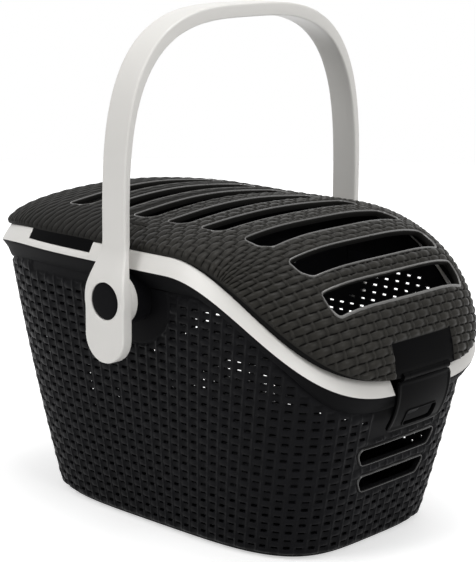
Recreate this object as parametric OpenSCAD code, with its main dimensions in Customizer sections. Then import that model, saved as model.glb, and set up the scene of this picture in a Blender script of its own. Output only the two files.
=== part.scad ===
// Pet keeper: a woven-look carrying basket with a white rim band, a slotted
// domed lid in two parts, a folding carry handle and a front clasp.
// X runs from the rear end to the clasp end, Y across, Z up from the floor.

/* [Rim] */
// Length over the seam, where the rim is longest
rim_length = 504; // [460:2:560]
// Width over the seam
rim_width = 336; // [300:2:380]
// Squareness of the rim's outline, 2 is an oval
rim_squareness = 3.54; // [3:0.05:5]
// Height of the seam along the straight middle
rim_height = 277; // [250:1:310]
// How far the seam falls at the clasp end
front_fall = 158.5; // [120:0.5:170]
// Where the fall to the clasp end begins, ahead of the middle
front_fall_from = 66; // [50:1:90]
// Length over which that fall is eased
front_fall_run = 300; // [280:1:340]
// How far the seam falls at the rear end
rear_fall = 16.7; // [0:0.1:25]
// Where the fall to the rear end begins, behind the middle
rear_fall_from = 136; // [100:1:170]
// Depth of the smooth flange under the seam
flange_depth = 19; // [15:0.5:24]

/* [Basket] */
// Inset of the base from the rim's outline at the ends
base_end_inset = 64.7; // [52:0.1:80]
// Inset of the base from the rim's outline at the sides
base_side_inset = 43.2; // [36:0.1:53]
// Squareness of the base's outline
base_squareness = 4; // [3.2:0.05:5]
// Forward shift of the base from the rim's middle
base_shift = 8.2; // [0:0.2:14]
// Inset of the wall from the rim's outline at the ends
wall_end_inset = 5.5; // [4:0.1:16]
// Inset of the wall from the rim's outline at the sides
wall_side_inset = 16.2; // [14:0.1:24]
// Outward swell of the wall at half height
wall_swell = 2.4; // [0:0.2:5]
// Wall thickness
wall = 3; // [2:0.1:4]
// Floor thickness
floor_thickness = 3.5; // [2.5:0.1:6]
// Rounding where the wall meets the base
base_round = 9; // [5:0.5:14]

/* [Rim band] */
// Height of the white band
band_height = 16.5; // [12:0.5:20]
// Inward lean of the band from seam to top edge
band_lean = 9; // [6:0.5:11]
// Thickness of the band
band_thickness = 3.2; // [2.4:0.1:4]
// Gap between pieces that sit on each other
seat_gap = 0.3; // [0.2:0.05:0.5]
// Rear end of the notch for the rear lid's side tabs
notch_rear = -141; // [-150:1:-120]
// Front end of the notch for the rear lid's side tabs
notch_front = -42; // [-70:1:-36]
// Height of the notch, down from the band's top edge
notch_height = 10; // [6:0.5:12]

/* [Lid] */
// Top of the lid at the middle of its length
lid_top = 316.7; // [306:0.5:330]
// Extra height of the lid's crown line at its ends
crown_rise = 12.3; // [0:0.1:15]
// Camber across the flat part of the lid
crown_camber = 5; // [0:0.1:6]
// Roundness of the lid from crown to shoulder
lid_shoulder = 4; // [3:0.1:5]
// Roundness of the lid where it turns down to its edge
lid_edge_round = 1.6; // [1.4:0.05:2.2]
// Thickness of the lid
lid_wall = 2.6; // [2:0.1:3.4]
// Step of the lid's edge inward from the seam at the sides
lid_side_inset = 9.2; // [8:0.1:11]
// Step of the lid's edge inward from the seam at the rear
lid_rear_inset = 2; // [1:0.5:8]
// Reach of the lid's edge past the seam at the clasp end
lid_front_reach = 3; // [0:0.5:6]
// Place of the split across the top between the lid's two parts
split_x = -44; // [-50:1:-40]
// Place of the split down the sides
side_split_x = 0; // [-4:0.5:4]
// Half width of the front lid's tongue between the rear lid's ears
tongue_half_width = 126; // [120:0.5:132]
// Width of the split
split_gap = 1.7; // [1.6:0.1:2]
// Depth of the rear lid's skirt inside the rim
skirt_depth = 13; // [6:0.5:16]

/* [Lid slots] */
// Rear edge of the rearmost slot
slot_first_x = -135; // [-138:1:-132]
// Pitch of the slots on the flat of the lid
slot_pitch = 48; // [46:0.1:48]
// Width of the slots on the flat of the lid
slot_width = 26; // [20:0.5:28]
// Half length of the slots on the flat of the lid
slot_half_length = 108; // [90:1:112]
// Rear edge of the first slot on the slope to the clasp end
front_slot_x1 = 56.5; // [55:0.5:60]
// Rear edge of the second slot on that slope
front_slot_x2 = 110.5; // [106:0.5:114]
// Rear edge of the third slot on that slope
front_slot_x3 = 164.5; // [162:0.5:168]
// Rear edge of the fourth slot on that slope
front_slot_x4 = 203; // [202:0.5:206]
// Width of the first slot on that slope
front_slot_w1 = 26.5; // [22:0.5:28]
// Width of the second slot on that slope
front_slot_w2 = 31; // [26:0.5:33]
// Width of the third slot on that slope
front_slot_w3 = 24; // [20:0.5:26]
// Width of the fourth slot on that slope
front_slot_w4 = 17.5; // [14:0.5:18]
// Half length of the first slot on that slope
front_slot_half_length = 109; // [96:1:112]
// Shortening of each next slot on that slope
front_slot_shortening = 3; // [2:0.1:5]
// Forward bow of the last slot's middle
front_slot_bow = 10; // [0:0.5:12]

/* [Hinge of the front lid] */
// Place of the hinge axis behind the side split
hinge_back = 10.5; // [10:0.5:12]
// Height of the hinge axis below the lid's top
hinge_drop = 13.2; // [13:0.1:15]
// Radius of the hinge pins
hinge_pin_r = 2; // [1.6:0.1:2.2]
// Radius of the lugs round the hinge pins
hinge_lug_r = 4.6; // [4:0.1:5]
// Length of each lug along its pin
hinge_lug_length = 7; // [5:0.5:8]
// Running clearance of a pin in its moving lug
pin_clearance = 0.06; // [0.02:0.01:0.1]

/* [Handle] */
// Height of the handle's pivot
pivot_z = 246.5; // [236:0.5:250]
// Place of the pivot ahead of the rim's middle
pivot_x = 8; // [0:0.5:16]
// Top of the handle above the floor
handle_top = 526; // [500:1:560]
// Width of the handle's legs and grip
handle_width = 32.6; // [28:0.2:40]
// Thickness of the legs
leg_thickness = 8; // [6:0.2:10]
// Thickness of the grip
grip_thickness = 14; // [10:0.5:18]
// Gap between the seam and the handle's hubs
hub_gap = 3.5; // [2:0.1:8]
// Depth of each hub
hub_depth = 21; // [18:0.5:25]
// Radius of the broad eye round the pivot
eye_r = 28; // [26:0.5:30]
// Reach of the tail below the pivot
tail_reach = 62; // [50:1:70]
// Thickness of the eye and the tail
tail_thickness = 13; // [10:0.5:15]
// Height above the pivot at which the legs reach their own width
neck_height = 56; // [48:1:70]
// Inward step of the legs from the face of the eye
leg_set_in = 13.3; // [8:0.1:15]
// Squareness of the arch
arch_squareness = 3.22; // [2.6:0.02:4]

/* [Pivots] */
// Radius of the round cap that shows in the handle's eye
cap_r = 18.4; // [16:0.1:20]
// Thickness of the cap
cap_thickness = 5; // [4:0.1:6]
// Depth of the cap below the face of the eye
cap_sunk = 1.6; // [1:0.1:3]
// Radius of the spigot that the handle turns on
spigot_r = 12; // [11:0.1:13.5]
// Radius of the cap's shank
shank_r = 7; // [5:0.1:8]
// Length of the cap's shank
shank_length = 22; // [16:0.5:24]
// Radius of the basket's boss behind the handle
boss_r = 26; // [22:0.5:28]
// Radius of the smooth pad round the boss
pad_r = 48; // [40:1:50]
// Running clearance of the handle on its spigots
spigot_clearance = 0.08; // [0.02:0.01:0.1]

/* [Front clasp] */
// Width of the clasp
clasp_width = 83; // [70:1:90]
// Height of the clasp from its pin to its lower edge
clasp_height = 57; // [54:0.5:62]
// Thickness of the clasp
clasp_thickness = 3; // [2.4:0.1:3.6]
// Forward swell of the clasp past its pin
clasp_swell = 6; // [4:0.2:9]
// Backward sweep of the clasp's lower edge
clasp_sweep = 13; // [11:0.2:14]
// Radius of the clasp's pin
clasp_pin_r = 1.6; // [1.4:0.1:2]
// Radius of the clasp's knuckles
clasp_knuckle_r = 4; // [3.6:0.1:4.6]
// Width of the window in the clasp
window_width = 46; // [36:1:50]
// Height of the window in the clasp
window_height = 16; // [15:0.5:17]
// Lower edge of the window above the clasp's lower edge
window_sill = 4.5; // [4:0.5:6]
// Width of the catch on the basket
catch_width = 34; // [24:1:36]
// Height of the catch's nose
catch_height = 6; // [4:0.5:7]

/* [Front vents] */
// Lower edge of the lower vent
vent_first_z = 65; // [56:1:70]
// Height of a vent
vent_height = 17; // [12:0.5:19]
// Pitch of the vents
vent_pitch = 30; // [27:0.5:32]
// Half width of the lower vent along its top edge
vent_half_width = 50; // [40:1:54]
// How much wider the upper vent is on each side
vent_flare = 8; // [0:0.5:10]

/* [Hidden] */
$fn = 64;

black = [0.06, 0.06, 0.065];
white = [0.86, 0.85, 0.82];

// ---- outlines ----
around = 56;
eps = 0.01;
function side(v) = v < 0 ? -1 : 1;
function eased(v) = let (u = max(0, min(1, v))) u * u * (3 - 2 * u);
function oval(half_l, half_w, squareness, t) = [
    half_l * side(cos(t)) * pow(abs(cos(t)), 2 / squareness),
    half_w * side(sin(t)) * pow(abs(sin(t)), 2 / squareness)];
turns = [for (i = [0:around - 1]) 360 * i / around];

// Height of the seam at a place along the length
function seam_z(x) = rim_height
    - rear_fall * pow(max(0, (-x - rear_fall_from) / (rim_length / 2 - rear_fall_from)), 2)
    - front_fall * eased((x - front_fall_from) / front_fall_run);
function seam_x(t) = oval(rim_length / 2, rim_width / 2, rim_squareness, t)[0];
// A point that steps inward and upward from the seam
function rim_point(t, inset, rise) =
    let (p = oval(rim_length / 2 - inset, rim_width / 2 - inset, rim_squareness, t))
    [p[0], p[1], seam_z(seam_x(t)) + rise];
front_seam_z = seam_z(rim_length / 2);

// ---- basket wall ----
base_length = rim_length - 2 * base_end_inset;
base_width = rim_width - 2 * base_side_inset;
wall_length = rim_length - 2 * wall_end_inset;
wall_width = rim_width - 2 * wall_side_inset;
wall_ref_z = 260;
wall_shift = 8;
wall_squareness = 4.3;
function wall_point(t, z, inset) =
    let (f = z / wall_ref_z)
    let (low = oval(base_length / 2 - inset, base_width / 2 - inset, base_squareness, t))
    let (high = oval(wall_length / 2 - inset, wall_width / 2 - inset, wall_squareness, t))
    let (swell = 4 * wall_swell * f * (1 - f))
    let (out = [low[0] / base_length * 2, low[1] / base_width * 2])
    [base_shift + low[0] + (high[0] + wall_shift - base_shift - low[0]) * f + swell * out[0],
     low[1] + (high[1] - low[1]) * f + swell * out[1], z];
function wall_top(t) = seam_z(seam_x(t)) - flange_depth;

ledge_inset = band_thickness + 1.2;
rib_top_inset = band_lean + band_thickness + 0.6;
rib_rise = band_height - 3;
rib_thickness = 2.6;
function basket_profile(t) = concat(
    [wall_point(t, 0, base_round * 0.8),
     wall_point(t, base_round * 0.25, base_round * 0.22),
     wall_point(t, base_round, 0)],
    [for (f = [0.33, 0.66, 1]) wall_point(t, base_round + (wall_top(t) - base_round) * f, 0)],
    [rim_point(t, 6, -9), rim_point(t, 0.4, -seat_gap - 1.4), rim_point(t, 0.4, -seat_gap),
     rim_point(t, ledge_inset, -seat_gap),
     rim_point(t, rib_top_inset, rib_rise),
     rim_point(t, rib_top_inset + rib_thickness, rib_rise),
     rim_point(t, rib_top_inset + rib_thickness, -5)],
    [for (f = [1, 0.5, 0]) wall_point(t,
        floor_thickness + (wall_top(t) - 6 - floor_thickness) * f, wall)]);

// ---- closed surfaces from one profile for each turn ----
function strips(m, rows) = [for (i = [0:around - 1], j = [0:rows - 1])
    let (a = i * m + j, b = ((i + 1) % around) * m + j)
    let (a2 = i * m + (j + 1) % m, b2 = ((i + 1) % around) * m + (j + 1) % m)
    each [[a, b2, b], [a, a2, b2]]];
module bowl(profiles) {
    m = len(profiles[0]);
    polyhedron([for (p = profiles) each p], concat(strips(m, m - 1),
        [[for (i = [0:around - 1]) i * m],
         [for (i = [around - 1:-1:0]) i * m + m - 1]]));
}
module dome(profiles, inner_pole, outer_pole) {
    m = len(profiles[0]);
    top = around * m;
    polyhedron(concat([for (p = profiles) each p], [inner_pole, outer_pole]), concat(
        strips(m, m - 1),
        [for (i = [0:around - 1]) [i * m, ((i + 1) % around) * m, top]],
        [for (i = [0:around - 1]) [((i + 1) % around) * m + m - 1, i * m + m - 1, top + 1]]));
}
module hoop(profiles) {
    m = len(profiles[0]);
    polyhedron([for (p = profiles) each p], strips(m, m));
}

// ---- lid surface ----
lid_half_length = (rim_length - lid_rear_inset + lid_front_reach) / 2;
lid_half_width = rim_width / 2 - lid_side_inset;
lid_shift = (lid_rear_inset + lid_front_reach) / 2;
lid_seat = band_height + seat_gap;
camber_from = slot_first_x + 3 * slot_pitch;
function crown_z(x, y) = lid_top + crown_rise * pow(x / (rim_length / 2), 2)
    + crown_camber * pow(max(0, 1 - pow(y / slot_half_length, 2)), 2)
        * (1 - eased((x - camber_from) / (front_slot_x2 - camber_from)));
function dome_share(r) = pow(max(0, 1 - pow(r, lid_shoulder)), 1 / lid_edge_round);
function lid_point(t, r, skin) =
    let (p = oval(lid_half_length - skin, lid_half_width - skin, rim_squareness, t))
    let (low = seam_z(seam_x(t)) + lid_seat)
    let (x = lid_shift + p[0] * r)
    [x, p[1] * r, low + (crown_z(x, p[1] * r) - skin - low) * dome_share(r)];
inner_steps = [0.3, 0.56, 0.73, 0.84, 0.93, 0.98, 1];
outer_steps = [1, 0.988, 0.96, 0.915, 0.84, 0.73, 0.56, 0.3];
// Height of the lid's surface over a place whose edge height is known
function lid_height(x, y, skin, low) =
    let (a = pow(abs(x - lid_shift) / (lid_half_length - skin), rim_squareness))
    let (b = pow(abs(y) / (lid_half_width - skin), rim_squareness))
    low + (crown_z(x, y) - skin - low) * dome_share(pow(a + b, 1 / rim_squareness));
flat_edge_z = rim_height + lid_seat;
function lid_profile(t) = concat(
    [for (r = inner_steps) lid_point(t, r, lid_wall)],
    [for (r = outer_steps) lid_point(t, r, 0)]);

module lid_shell() {
    dome([for (t = turns) lid_profile(t)],
        [lid_shift, 0, crown_z(lid_shift, 0) - lid_wall], [lid_shift, 0, crown_z(lid_shift, 0)]);
}

// ---- places that several pieces share ----
hinge_x = side_split_x - hinge_back;
hinge_z = lid_top - hinge_drop;
hub_y = rim_width / 2 + hub_gap;
eye_y = hub_y + hub_depth;
cap_y = eye_y - cap_sunk;
spigot_end = cap_y - cap_thickness - seat_gap;
clasp_x = rim_length / 2 + 1;
clasp_z = front_seam_z + band_height + 1;
clasp_gap_half = clasp_width / 2 + 1.5;

// Plan of the front lid's part of the shell
module front_plan(grow) {
    g = split_gap / 2 - grow;
    polygon([[side_split_x + g, -rim_width], [side_split_x + g, -tongue_half_width + g],
        [split_x + g, -tongue_half_width + g], [split_x + g, tongue_half_width - g],
        [side_split_x + g, tongue_half_width - g], [side_split_x + g, rim_width],
        [rim_length, rim_width], [rim_length, -rim_width]]);
}

// One slot seen from above, with slanted ends
module slot_plan(x, width, half_length) {
    slant = width * 0.3;
    end = [[0, -slant * 0.5], [slant * 0.5, 0], [width - slant, 0], [width, -slant]];
    polygon(concat([for (p = end) [x + p[0], half_length + p[1]]],
        [for (i = [3:-1:0]) [x + end[i][0], -half_length - end[i][1]]]));
}
module flat_slots(first, last) {
    for (i = [first:last])
        slot_plan(slot_first_x + i * slot_pitch, slot_width, slot_half_length);
}
// The slots on the slope bow forward, as the woven rows do there
function bowed(x, y) = x + front_slot_bow * eased((x - front_slot_x2) / (front_slot_x4 - front_slot_x2))
    * (1 - pow(min(1, abs(y) / slot_half_length), 3));
module bowed_slot_plan(x, width, half_length) {
    slant = width * 0.3;
    rear_y = half_length - slant * 0.5;
    front_y = half_length - slant;
    polygon(concat([for (i = [-6:6]) [bowed(x, rear_y * i / 6), rear_y * i / 6]],
        [[x + slant * 0.5, half_length], [x + width - slant, half_length]],
        [for (i = [6:-1:-6]) [bowed(x + width, front_y * i / 6), front_y * i / 6]],
        [[x + width - slant, -half_length], [x + slant * 0.5, -half_length]]));
}
module sloping_slots() {
    starts = [front_slot_x1, front_slot_x2, front_slot_x3, front_slot_x4];
    widths = [front_slot_w1, front_slot_w2, front_slot_w3, front_slot_w4];
    for (i = [0:3])
        bowed_slot_plan(starts[i], widths[i], front_slot_half_length - front_slot_shortening * i);
}

// A ring that follows the rim between two insets and two rises
module rim_ring(low_inset, high_inset, thickness, low, high) {
    hoop([for (t = turns) [rim_point(t, low_inset, low), rim_point(t, high_inset, high),
        rim_point(t, high_inset + thickness, high), rim_point(t, low_inset + thickness, low)]]);
}
module slab(x0, x1) {
    translate([x0, -rim_width, 0]) cube([x1 - x0, 2 * rim_width, 2 * lid_top]);
}
module along_y(x, y0, y1, z, r) {
    translate([x, y0, z]) rotate([-90, 0, 0]) cylinder(r = r, h = y1 - y0);
}
module both_sides() {
    children();
    mirror([0, 1, 0]) children();
}

// ---- basket ----
wall_lean = atan((wall_width - base_width) / 2 / wall_ref_z);
pivot_wall_y = wall_point(90, pivot_z, 0)[1];
module pivot_boss() {
    intersection() {
        translate([pivot_x, pivot_wall_y, pivot_z]) rotate([-90 + wall_lean, 0, 0])
            translate([0, 0, -wall + 0.5]) cylinder(r = pad_r, h = wall + 4);
        translate([-rim_length / 2, 0, 0])
            cube([rim_length, rim_width, rim_height - flange_depth + 3]);
    }
    along_y(pivot_x, rim_width / 2 - rib_top_inset - rib_thickness + 0.4, hub_y - seat_gap,
        pivot_z, boss_r);
    along_y(pivot_x, hub_y - 1, spigot_end, pivot_z, spigot_r);
}
vent_slant = 6;
module vent(z, half_w) {
    translate([base_length / 2 - 20, 0, 0]) rotate([90, 0, 90]) linear_extrude(90)
        polygon([[-half_w + vent_slant, z], [half_w - vent_slant, z],
            [half_w, z + vent_height * 0.6], [half_w, z + vent_height - 3],
            [half_w - 3, z + vent_height], [-half_w + 3, z + vent_height],
            [-half_w, z + vent_height - 3], [-half_w, z + vent_height * 0.6]]);
}
clasp_bottom = clasp_z - clasp_height;
window_low = clasp_bottom + window_sill;
function clasp_mid_x(z) = let (f = (clasp_z - z) / clasp_height)
    clasp_x - clasp_sweep * f + 4 * clasp_swell * f * (1 - f);
function clasp_inner_x(z) = clasp_mid_x(z) - clasp_thickness / 2;
nose_top = window_low + window_height - 1.5;
nose_low = nose_top - catch_height * 0.4;
nose_root = nose_low - catch_height;
module catch() {
    tip_x = clasp_inner_x(nose_top) + 0.4;
    translate([0, catch_width / 2, 0]) rotate([90, 0, 0]) linear_extrude(catch_width)
        polygon([[wall_point(0, nose_root, wall / 2)[0], nose_root - 8],
            [clasp_inner_x(nose_root) - 3.2, nose_root],
            [tip_x, nose_low], [tip_x, nose_top],
            [wall_point(0, nose_top, wall / 2)[0], nose_top + 3]]);
}
module basket() color(black) {
    difference() {
        union() {
            bowl([for (t = turns) basket_profile(t)]);
            both_sides() pivot_boss();
            catch();
        }
        for (i = [0:1]) vent(vent_first_z + i * vent_pitch, vent_half_width + i * vent_flare);
        both_sides() along_y(pivot_x, spigot_end - shank_length - 1, spigot_end + 1, pivot_z,
            shank_r + pin_clearance / 2);
    }
}

// ---- rim band ----
module rim_band() color(white) {
    difference() {
        rim_ring(0, band_lean, band_thickness, 0, band_height);
        translate([0, -clasp_gap_half, 0]) cube([rim_length, 2 * clasp_gap_half, rim_height]);
        translate([notch_rear, -rim_width, rim_height + band_height - notch_height])
            cube([notch_front - notch_rear, 2 * rim_width, 2 * notch_height]);
    }
}

// ---- lid ----
module hinge_lug(y0, y1) {
    along_y(hinge_x, y0, y1, hinge_z, hinge_lug_r);
    r = hinge_lug_r - 0.4;
    near = y0 + 0.3;
    far = y1 - 0.3;
    translate([hinge_x - r, 0, 0]) rotate([90, 0, 90]) linear_extrude(2 * r)
        polygon([[near, hinge_z], [far, hinge_z],
            [far, lid_height(hinge_x, far, lid_wall - 1, flat_edge_z)],
            [near, lid_height(hinge_x, near, lid_wall - 1, flat_edge_z)]]);
}
lug_side = split_gap / 2 + 0.1;
// Corner of the skirt at one turn, under the lid's skin or at its lower edge
skirt_inset = rib_top_inset + rib_thickness + 0.5;
function skirt_point(t, inset, at_top) =
    let (p = rim_point(t, inset, lid_seat))
    [p[0], p[1], at_top ? lid_height(p[0], p[1], lid_wall - 0.9, p[2]) : p[2] - skirt_depth];
module rear_skirt() {
    intersection() {
        hoop([for (t = turns) [skirt_point(t, skirt_inset, false),
            skirt_point(t, skirt_inset, true), skirt_point(t, skirt_inset + 2.2, true),
            skirt_point(t, skirt_inset + 2.2, false)]]);
        slab(-rim_length, side_split_x - 8);
    }
}
module rear_tabs() {
    low = band_height - notch_height + seat_gap;
    high = lid_seat + 1.5;
    lean = band_lean / band_height;
    intersection() {
        rim_ring(low * lean, high * lean, band_thickness - 0.2, low, high);
        slab(notch_rear + seat_gap, notch_front - seat_gap);
    }
}
module rear_lid() color(black) {
    difference() {
        union() {
            difference() {
                lid_shell();
                linear_extrude(2 * lid_top) front_plan(split_gap);
                linear_extrude(2 * lid_top) flat_slots(0, 1);
            }
            rear_tabs();
            rear_skirt();
            both_sides() hinge_lug(tongue_half_width + lug_side,
                tongue_half_width + lug_side + hinge_lug_length);
        }
        both_sides() along_y(hinge_x, tongue_half_width - 20,
            tongue_half_width + lug_side + hinge_lug_length, hinge_z,
            hinge_pin_r + pin_clearance / 2);
    }
}
clasp_lug_length = 9;
knuckle_half = clasp_width / 2 - clasp_lug_length - 5.5;
module front_lid() color(black) {
    difference() {
        union() {
            difference() {
                intersection() {
                    lid_shell();
                    linear_extrude(2 * lid_top) front_plan(0);
                }
                linear_extrude(2 * lid_top) flat_slots(2, 3);
                linear_extrude(2 * lid_top) sloping_slots();
                along_y(clasp_x, -knuckle_half - 0.4, knuckle_half + 0.4, clasp_z,
                    clasp_knuckle_r + 0.5);
            }
            both_sides() hinge_lug(tongue_half_width - lug_side - hinge_lug_length,
                tongue_half_width - lug_side);
            both_sides() along_y(clasp_x, knuckle_half + 0.4, knuckle_half + 0.4 + clasp_lug_length,
                clasp_z, clasp_knuckle_r);
        }
        both_sides() along_y(hinge_x, tongue_half_width - 30, tongue_half_width + 10, hinge_z,
            hinge_pin_r + pin_clearance);
        along_y(clasp_x, -clasp_width, clasp_width, clasp_z, clasp_pin_r + pin_clearance / 2);
    }
}
module hinge_pin() {
    along_y(hinge_x, tongue_half_width - lug_side - hinge_lug_length + 0.5,
        tongue_half_width + lug_side + hinge_lug_length, hinge_z, hinge_pin_r);
}
module hinge_pin_left() color(black) hinge_pin();
module hinge_pin_right() color(black) mirror([0, 1, 0]) hinge_pin();

// ---- handle ----
arch_z = pivot_z + neck_height;
leg_y = eye_y - leg_set_in;
neck_from = pivot_z + 8;
arch_steps = 24;
function arch(half_w, top, n) = [for (i = [0:n])
    let (t = 90 * i / n)
    [half_w * pow(cos(t), 2 / arch_squareness),
     arch_z + (top - arch_z) * pow(sin(t), 2 / arch_squareness)]];
function neck(n) = [for (i = [0:n]) let (f = i / n)
    [eye_y - leg_set_in * eased(f), neck_from + (arch_z - neck_from) * f]];
module handle_front_view() {
    outer = concat([[eye_y, pivot_z - tail_reach]], neck(8), arch(leg_y, handle_top, arch_steps));
    inner = concat([[eye_y - tail_thickness, pivot_z - tail_reach],
        [eye_y - tail_thickness, pivot_z + 22]],
        arch(leg_y - leg_thickness, handle_top - grip_thickness, arch_steps));
    half = concat(outer, [for (i = [len(inner) - 1:-1:0]) inner[i]]);
    polygon(half);
    mirror([1, 0]) polygon(half);
}
module handle_side_view() {
    tail_r = eye_r - 1;
    circle(r = eye_r);
    translate([0, tail_r - tail_reach]) circle(r = tail_r);
    translate([-tail_r, tail_r - tail_reach]) square([2 * tail_r, tail_reach - tail_r]);
    neck_points = [for (i = [0:10]) let (f = i / 10)
        [eye_r - (eye_r - handle_width / 2) * eased(f), (neck_height + 4) * f]];
    polygon(concat(neck_points, [for (i = [10:-1:0]) [-neck_points[i][0], neck_points[i][1]]]));
    translate([-handle_width / 2, neck_height]) square([handle_width, handle_top]);
}
module handle() color(white) {
    difference() {
        union() {
            intersection() {
                translate([pivot_x - 60, 0, 0]) rotate([90, 0, 90]) linear_extrude(120)
                    handle_front_view();
                translate([pivot_x, eye_y + 20, pivot_z]) rotate([90, 0, 0])
                    linear_extrude(2 * eye_y + 40) handle_side_view();
            }
            both_sides() along_y(pivot_x, hub_y, eye_y - tail_thickness + 1, pivot_z, boss_r);
        }
        both_sides() {
            along_y(pivot_x, hub_y - 1, eye_y, pivot_z, spigot_r + spigot_clearance);
            along_y(pivot_x, spigot_end, eye_y + 1, pivot_z, cap_r + 0.3);
        }
    }
}

// ---- pivot caps ----
module pivot_cap() {
    along_y(pivot_x, cap_y - cap_thickness, cap_y, pivot_z, cap_r);
    along_y(pivot_x, spigot_end - shank_length, cap_y - cap_thickness, pivot_z, shank_r);
}
module pivot_cap_left() color(black) pivot_cap();
module pivot_cap_right() color(black) mirror([0, 1, 0]) pivot_cap();

// ---- front clasp ----
plate_top = clasp_z - clasp_knuckle_r - 0.5;
module clasp_side_view() {
    z_steps = 12;
    heights = [for (i = [0:z_steps]) plate_top + (clasp_bottom - plate_top) * i / z_steps];
    polygon(concat([for (z = heights) [clasp_mid_x(z) + clasp_thickness / 2, z]],
        [for (i = [z_steps:-1:0]) [clasp_inner_x(heights[i]), heights[i]]]));
}
module front_clasp() color(black) {
    difference() {
        union() {
            translate([0, clasp_width / 2, 0]) rotate([90, 0, 0]) linear_extrude(clasp_width)
                clasp_side_view();
            along_y(clasp_x, -knuckle_half, knuckle_half, clasp_z, clasp_knuckle_r);
            translate([clasp_x - clasp_thickness / 2 + 0.6, -knuckle_half, plate_top - 1])
                cube([clasp_thickness - 0.6, 2 * knuckle_half, clasp_knuckle_r]);
            both_sides() translate([0, clasp_width / 2, 0]) rotate([90, 0, 0])
                linear_extrude(clasp_thickness)
                    polygon([[clasp_mid_x(clasp_bottom + 27), clasp_bottom + 27],
                        [clasp_mid_x(clasp_bottom) - 6, clasp_bottom + 5],
                        [clasp_mid_x(clasp_bottom) - 6, clasp_bottom],
                        [clasp_mid_x(clasp_bottom), clasp_bottom]]);
        }
        along_y(clasp_x, -clasp_width, clasp_width, clasp_z, clasp_pin_r + pin_clearance);
        translate([clasp_x - 40, -window_width / 2, window_low])
            cube([80, window_width, window_height]);
    }
}
module clasp_pin() color(black)
    along_y(clasp_x, -knuckle_half - clasp_lug_length, knuckle_half + clasp_lug_length, clasp_z,
        clasp_pin_r);

basket();
rim_band();
rear_lid();
front_lid();
hinge_pin_left();
hinge_pin_right();
handle();
pivot_cap_left();
pivot_cap_right();
front_clasp();
clasp_pin();
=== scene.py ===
# %% [markdown]
# # A small pet keeper in Blender
# The object is a moulded carrier: a dark basket with a woven look, a pale band
# round its rim, a dark domed lid in two parts, a pale carry handle and a clasp.
# This lesson dresses the measured solids with the detail that a mould gives
# them. The carrier's length lies along X, and the clasp is at its +X end.
# Lengths are written in millimetres, and one helper turns them into metres.

# %% Load the measured solids
import bmesh
import bpy
import math
import numpy as np
from mathutils import Matrix, Vector


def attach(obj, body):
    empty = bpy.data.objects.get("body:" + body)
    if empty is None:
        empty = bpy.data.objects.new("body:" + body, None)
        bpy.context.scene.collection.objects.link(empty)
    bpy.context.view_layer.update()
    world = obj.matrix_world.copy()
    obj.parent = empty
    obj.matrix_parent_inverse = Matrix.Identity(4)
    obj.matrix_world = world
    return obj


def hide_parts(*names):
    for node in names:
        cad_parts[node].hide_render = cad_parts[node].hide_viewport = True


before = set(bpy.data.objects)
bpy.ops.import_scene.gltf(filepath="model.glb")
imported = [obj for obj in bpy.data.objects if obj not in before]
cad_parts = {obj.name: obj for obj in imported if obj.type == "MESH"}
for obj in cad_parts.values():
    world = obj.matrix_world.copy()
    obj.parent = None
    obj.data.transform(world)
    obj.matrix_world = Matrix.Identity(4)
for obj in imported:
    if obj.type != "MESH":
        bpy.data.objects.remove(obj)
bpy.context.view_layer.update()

def add_object(name, data):
    """A new object at the origin."""
    thing = bpy.data.objects.new(name, data)
    bpy.context.collection.objects.link(thing)
    return thing

# %% [markdown]
# ## The camera
# The camera was fitted to the outline of the rim and the handle: it stands
# ahead of the clasp end, to the near side, and looks down by about 13 degrees.
# A long lens keeps the perspective as mild as it is in the picture.

# %% Place the camera
PICTURE_HEIGHT, SENSOR = 562, 36

def place_camera(position_mm, azimuth, elevation, roll, focal_px):
    forward = Vector((-math.sin(azimuth) * math.cos(elevation),
                      math.cos(azimuth) * math.cos(elevation), -math.sin(elevation)))
    right = Vector((math.cos(azimuth), math.sin(azimuth), 0))
    up = right.cross(forward)
    right, up = (right * math.cos(roll) + up * math.sin(roll),
                 up * math.cos(roll) - right * math.sin(roll))
    data = bpy.data.cameras.new("picture_camera")
    data.sensor_fit = "VERTICAL"
    data.sensor_height = SENSOR
    data.lens = SENSOR * focal_px / PICTURE_HEIGHT
    data.clip_start, data.clip_end = 0.05, 60
    camera = add_object("picture_camera", data)
    turn = Matrix((right, up, -forward)).transposed().to_4x4()
    camera.matrix_world = Matrix.Translation(Vector(position_mm) / 1000) @ turn
    bpy.context.scene.camera = camera
    return camera

camera = place_camera((1223.1, -1320.3, 637.6), azimuth=0.744, elevation=0.22, roll=0.008,
                      focal_px=1753.04)
print("lens:", round(camera.data.lens, 1), "mm")

# %% [markdown]
# ## The outlines that all pieces share
# Every outline of this carrier is an oval with squared-off corners. One
# function makes them all, and the S-curve of the rim is a second one: level
# along the middle, a gentle fall to the rear and a long fall to the clasp.

# %% Ovals and the S-curve
RIM_LENGTH, RIM_WIDTH, RIM_SQUARE = 504.0, 336.0, 3.54
RIM_Z, REAR_FALL, CLASP_FALL = 277, 16.7, 158.5

def signed_power(v, p):
    return np.sign(v) * np.abs(v) ** p

def oval(half_length, half_width, squareness, t):
    return (half_length * signed_power(np.cos(t), 2 / squareness),
            half_width * signed_power(np.sin(t), 2 / squareness))

def eased(v):
    u = np.clip(v, 0, 1)
    return u * u * (3 - 2 * u)

def seam_z(x):
    """Height of the seam between basket and band."""
    return (RIM_Z - REAR_FALL * np.maximum(0, (-x - 136) / 116) ** 2
            - CLASP_FALL * eased((x - 66) / 300))

def seam_x(t):
    return oval(RIM_LENGTH / 2, RIM_WIDTH / 2, RIM_SQUARE, t)[0]

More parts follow.
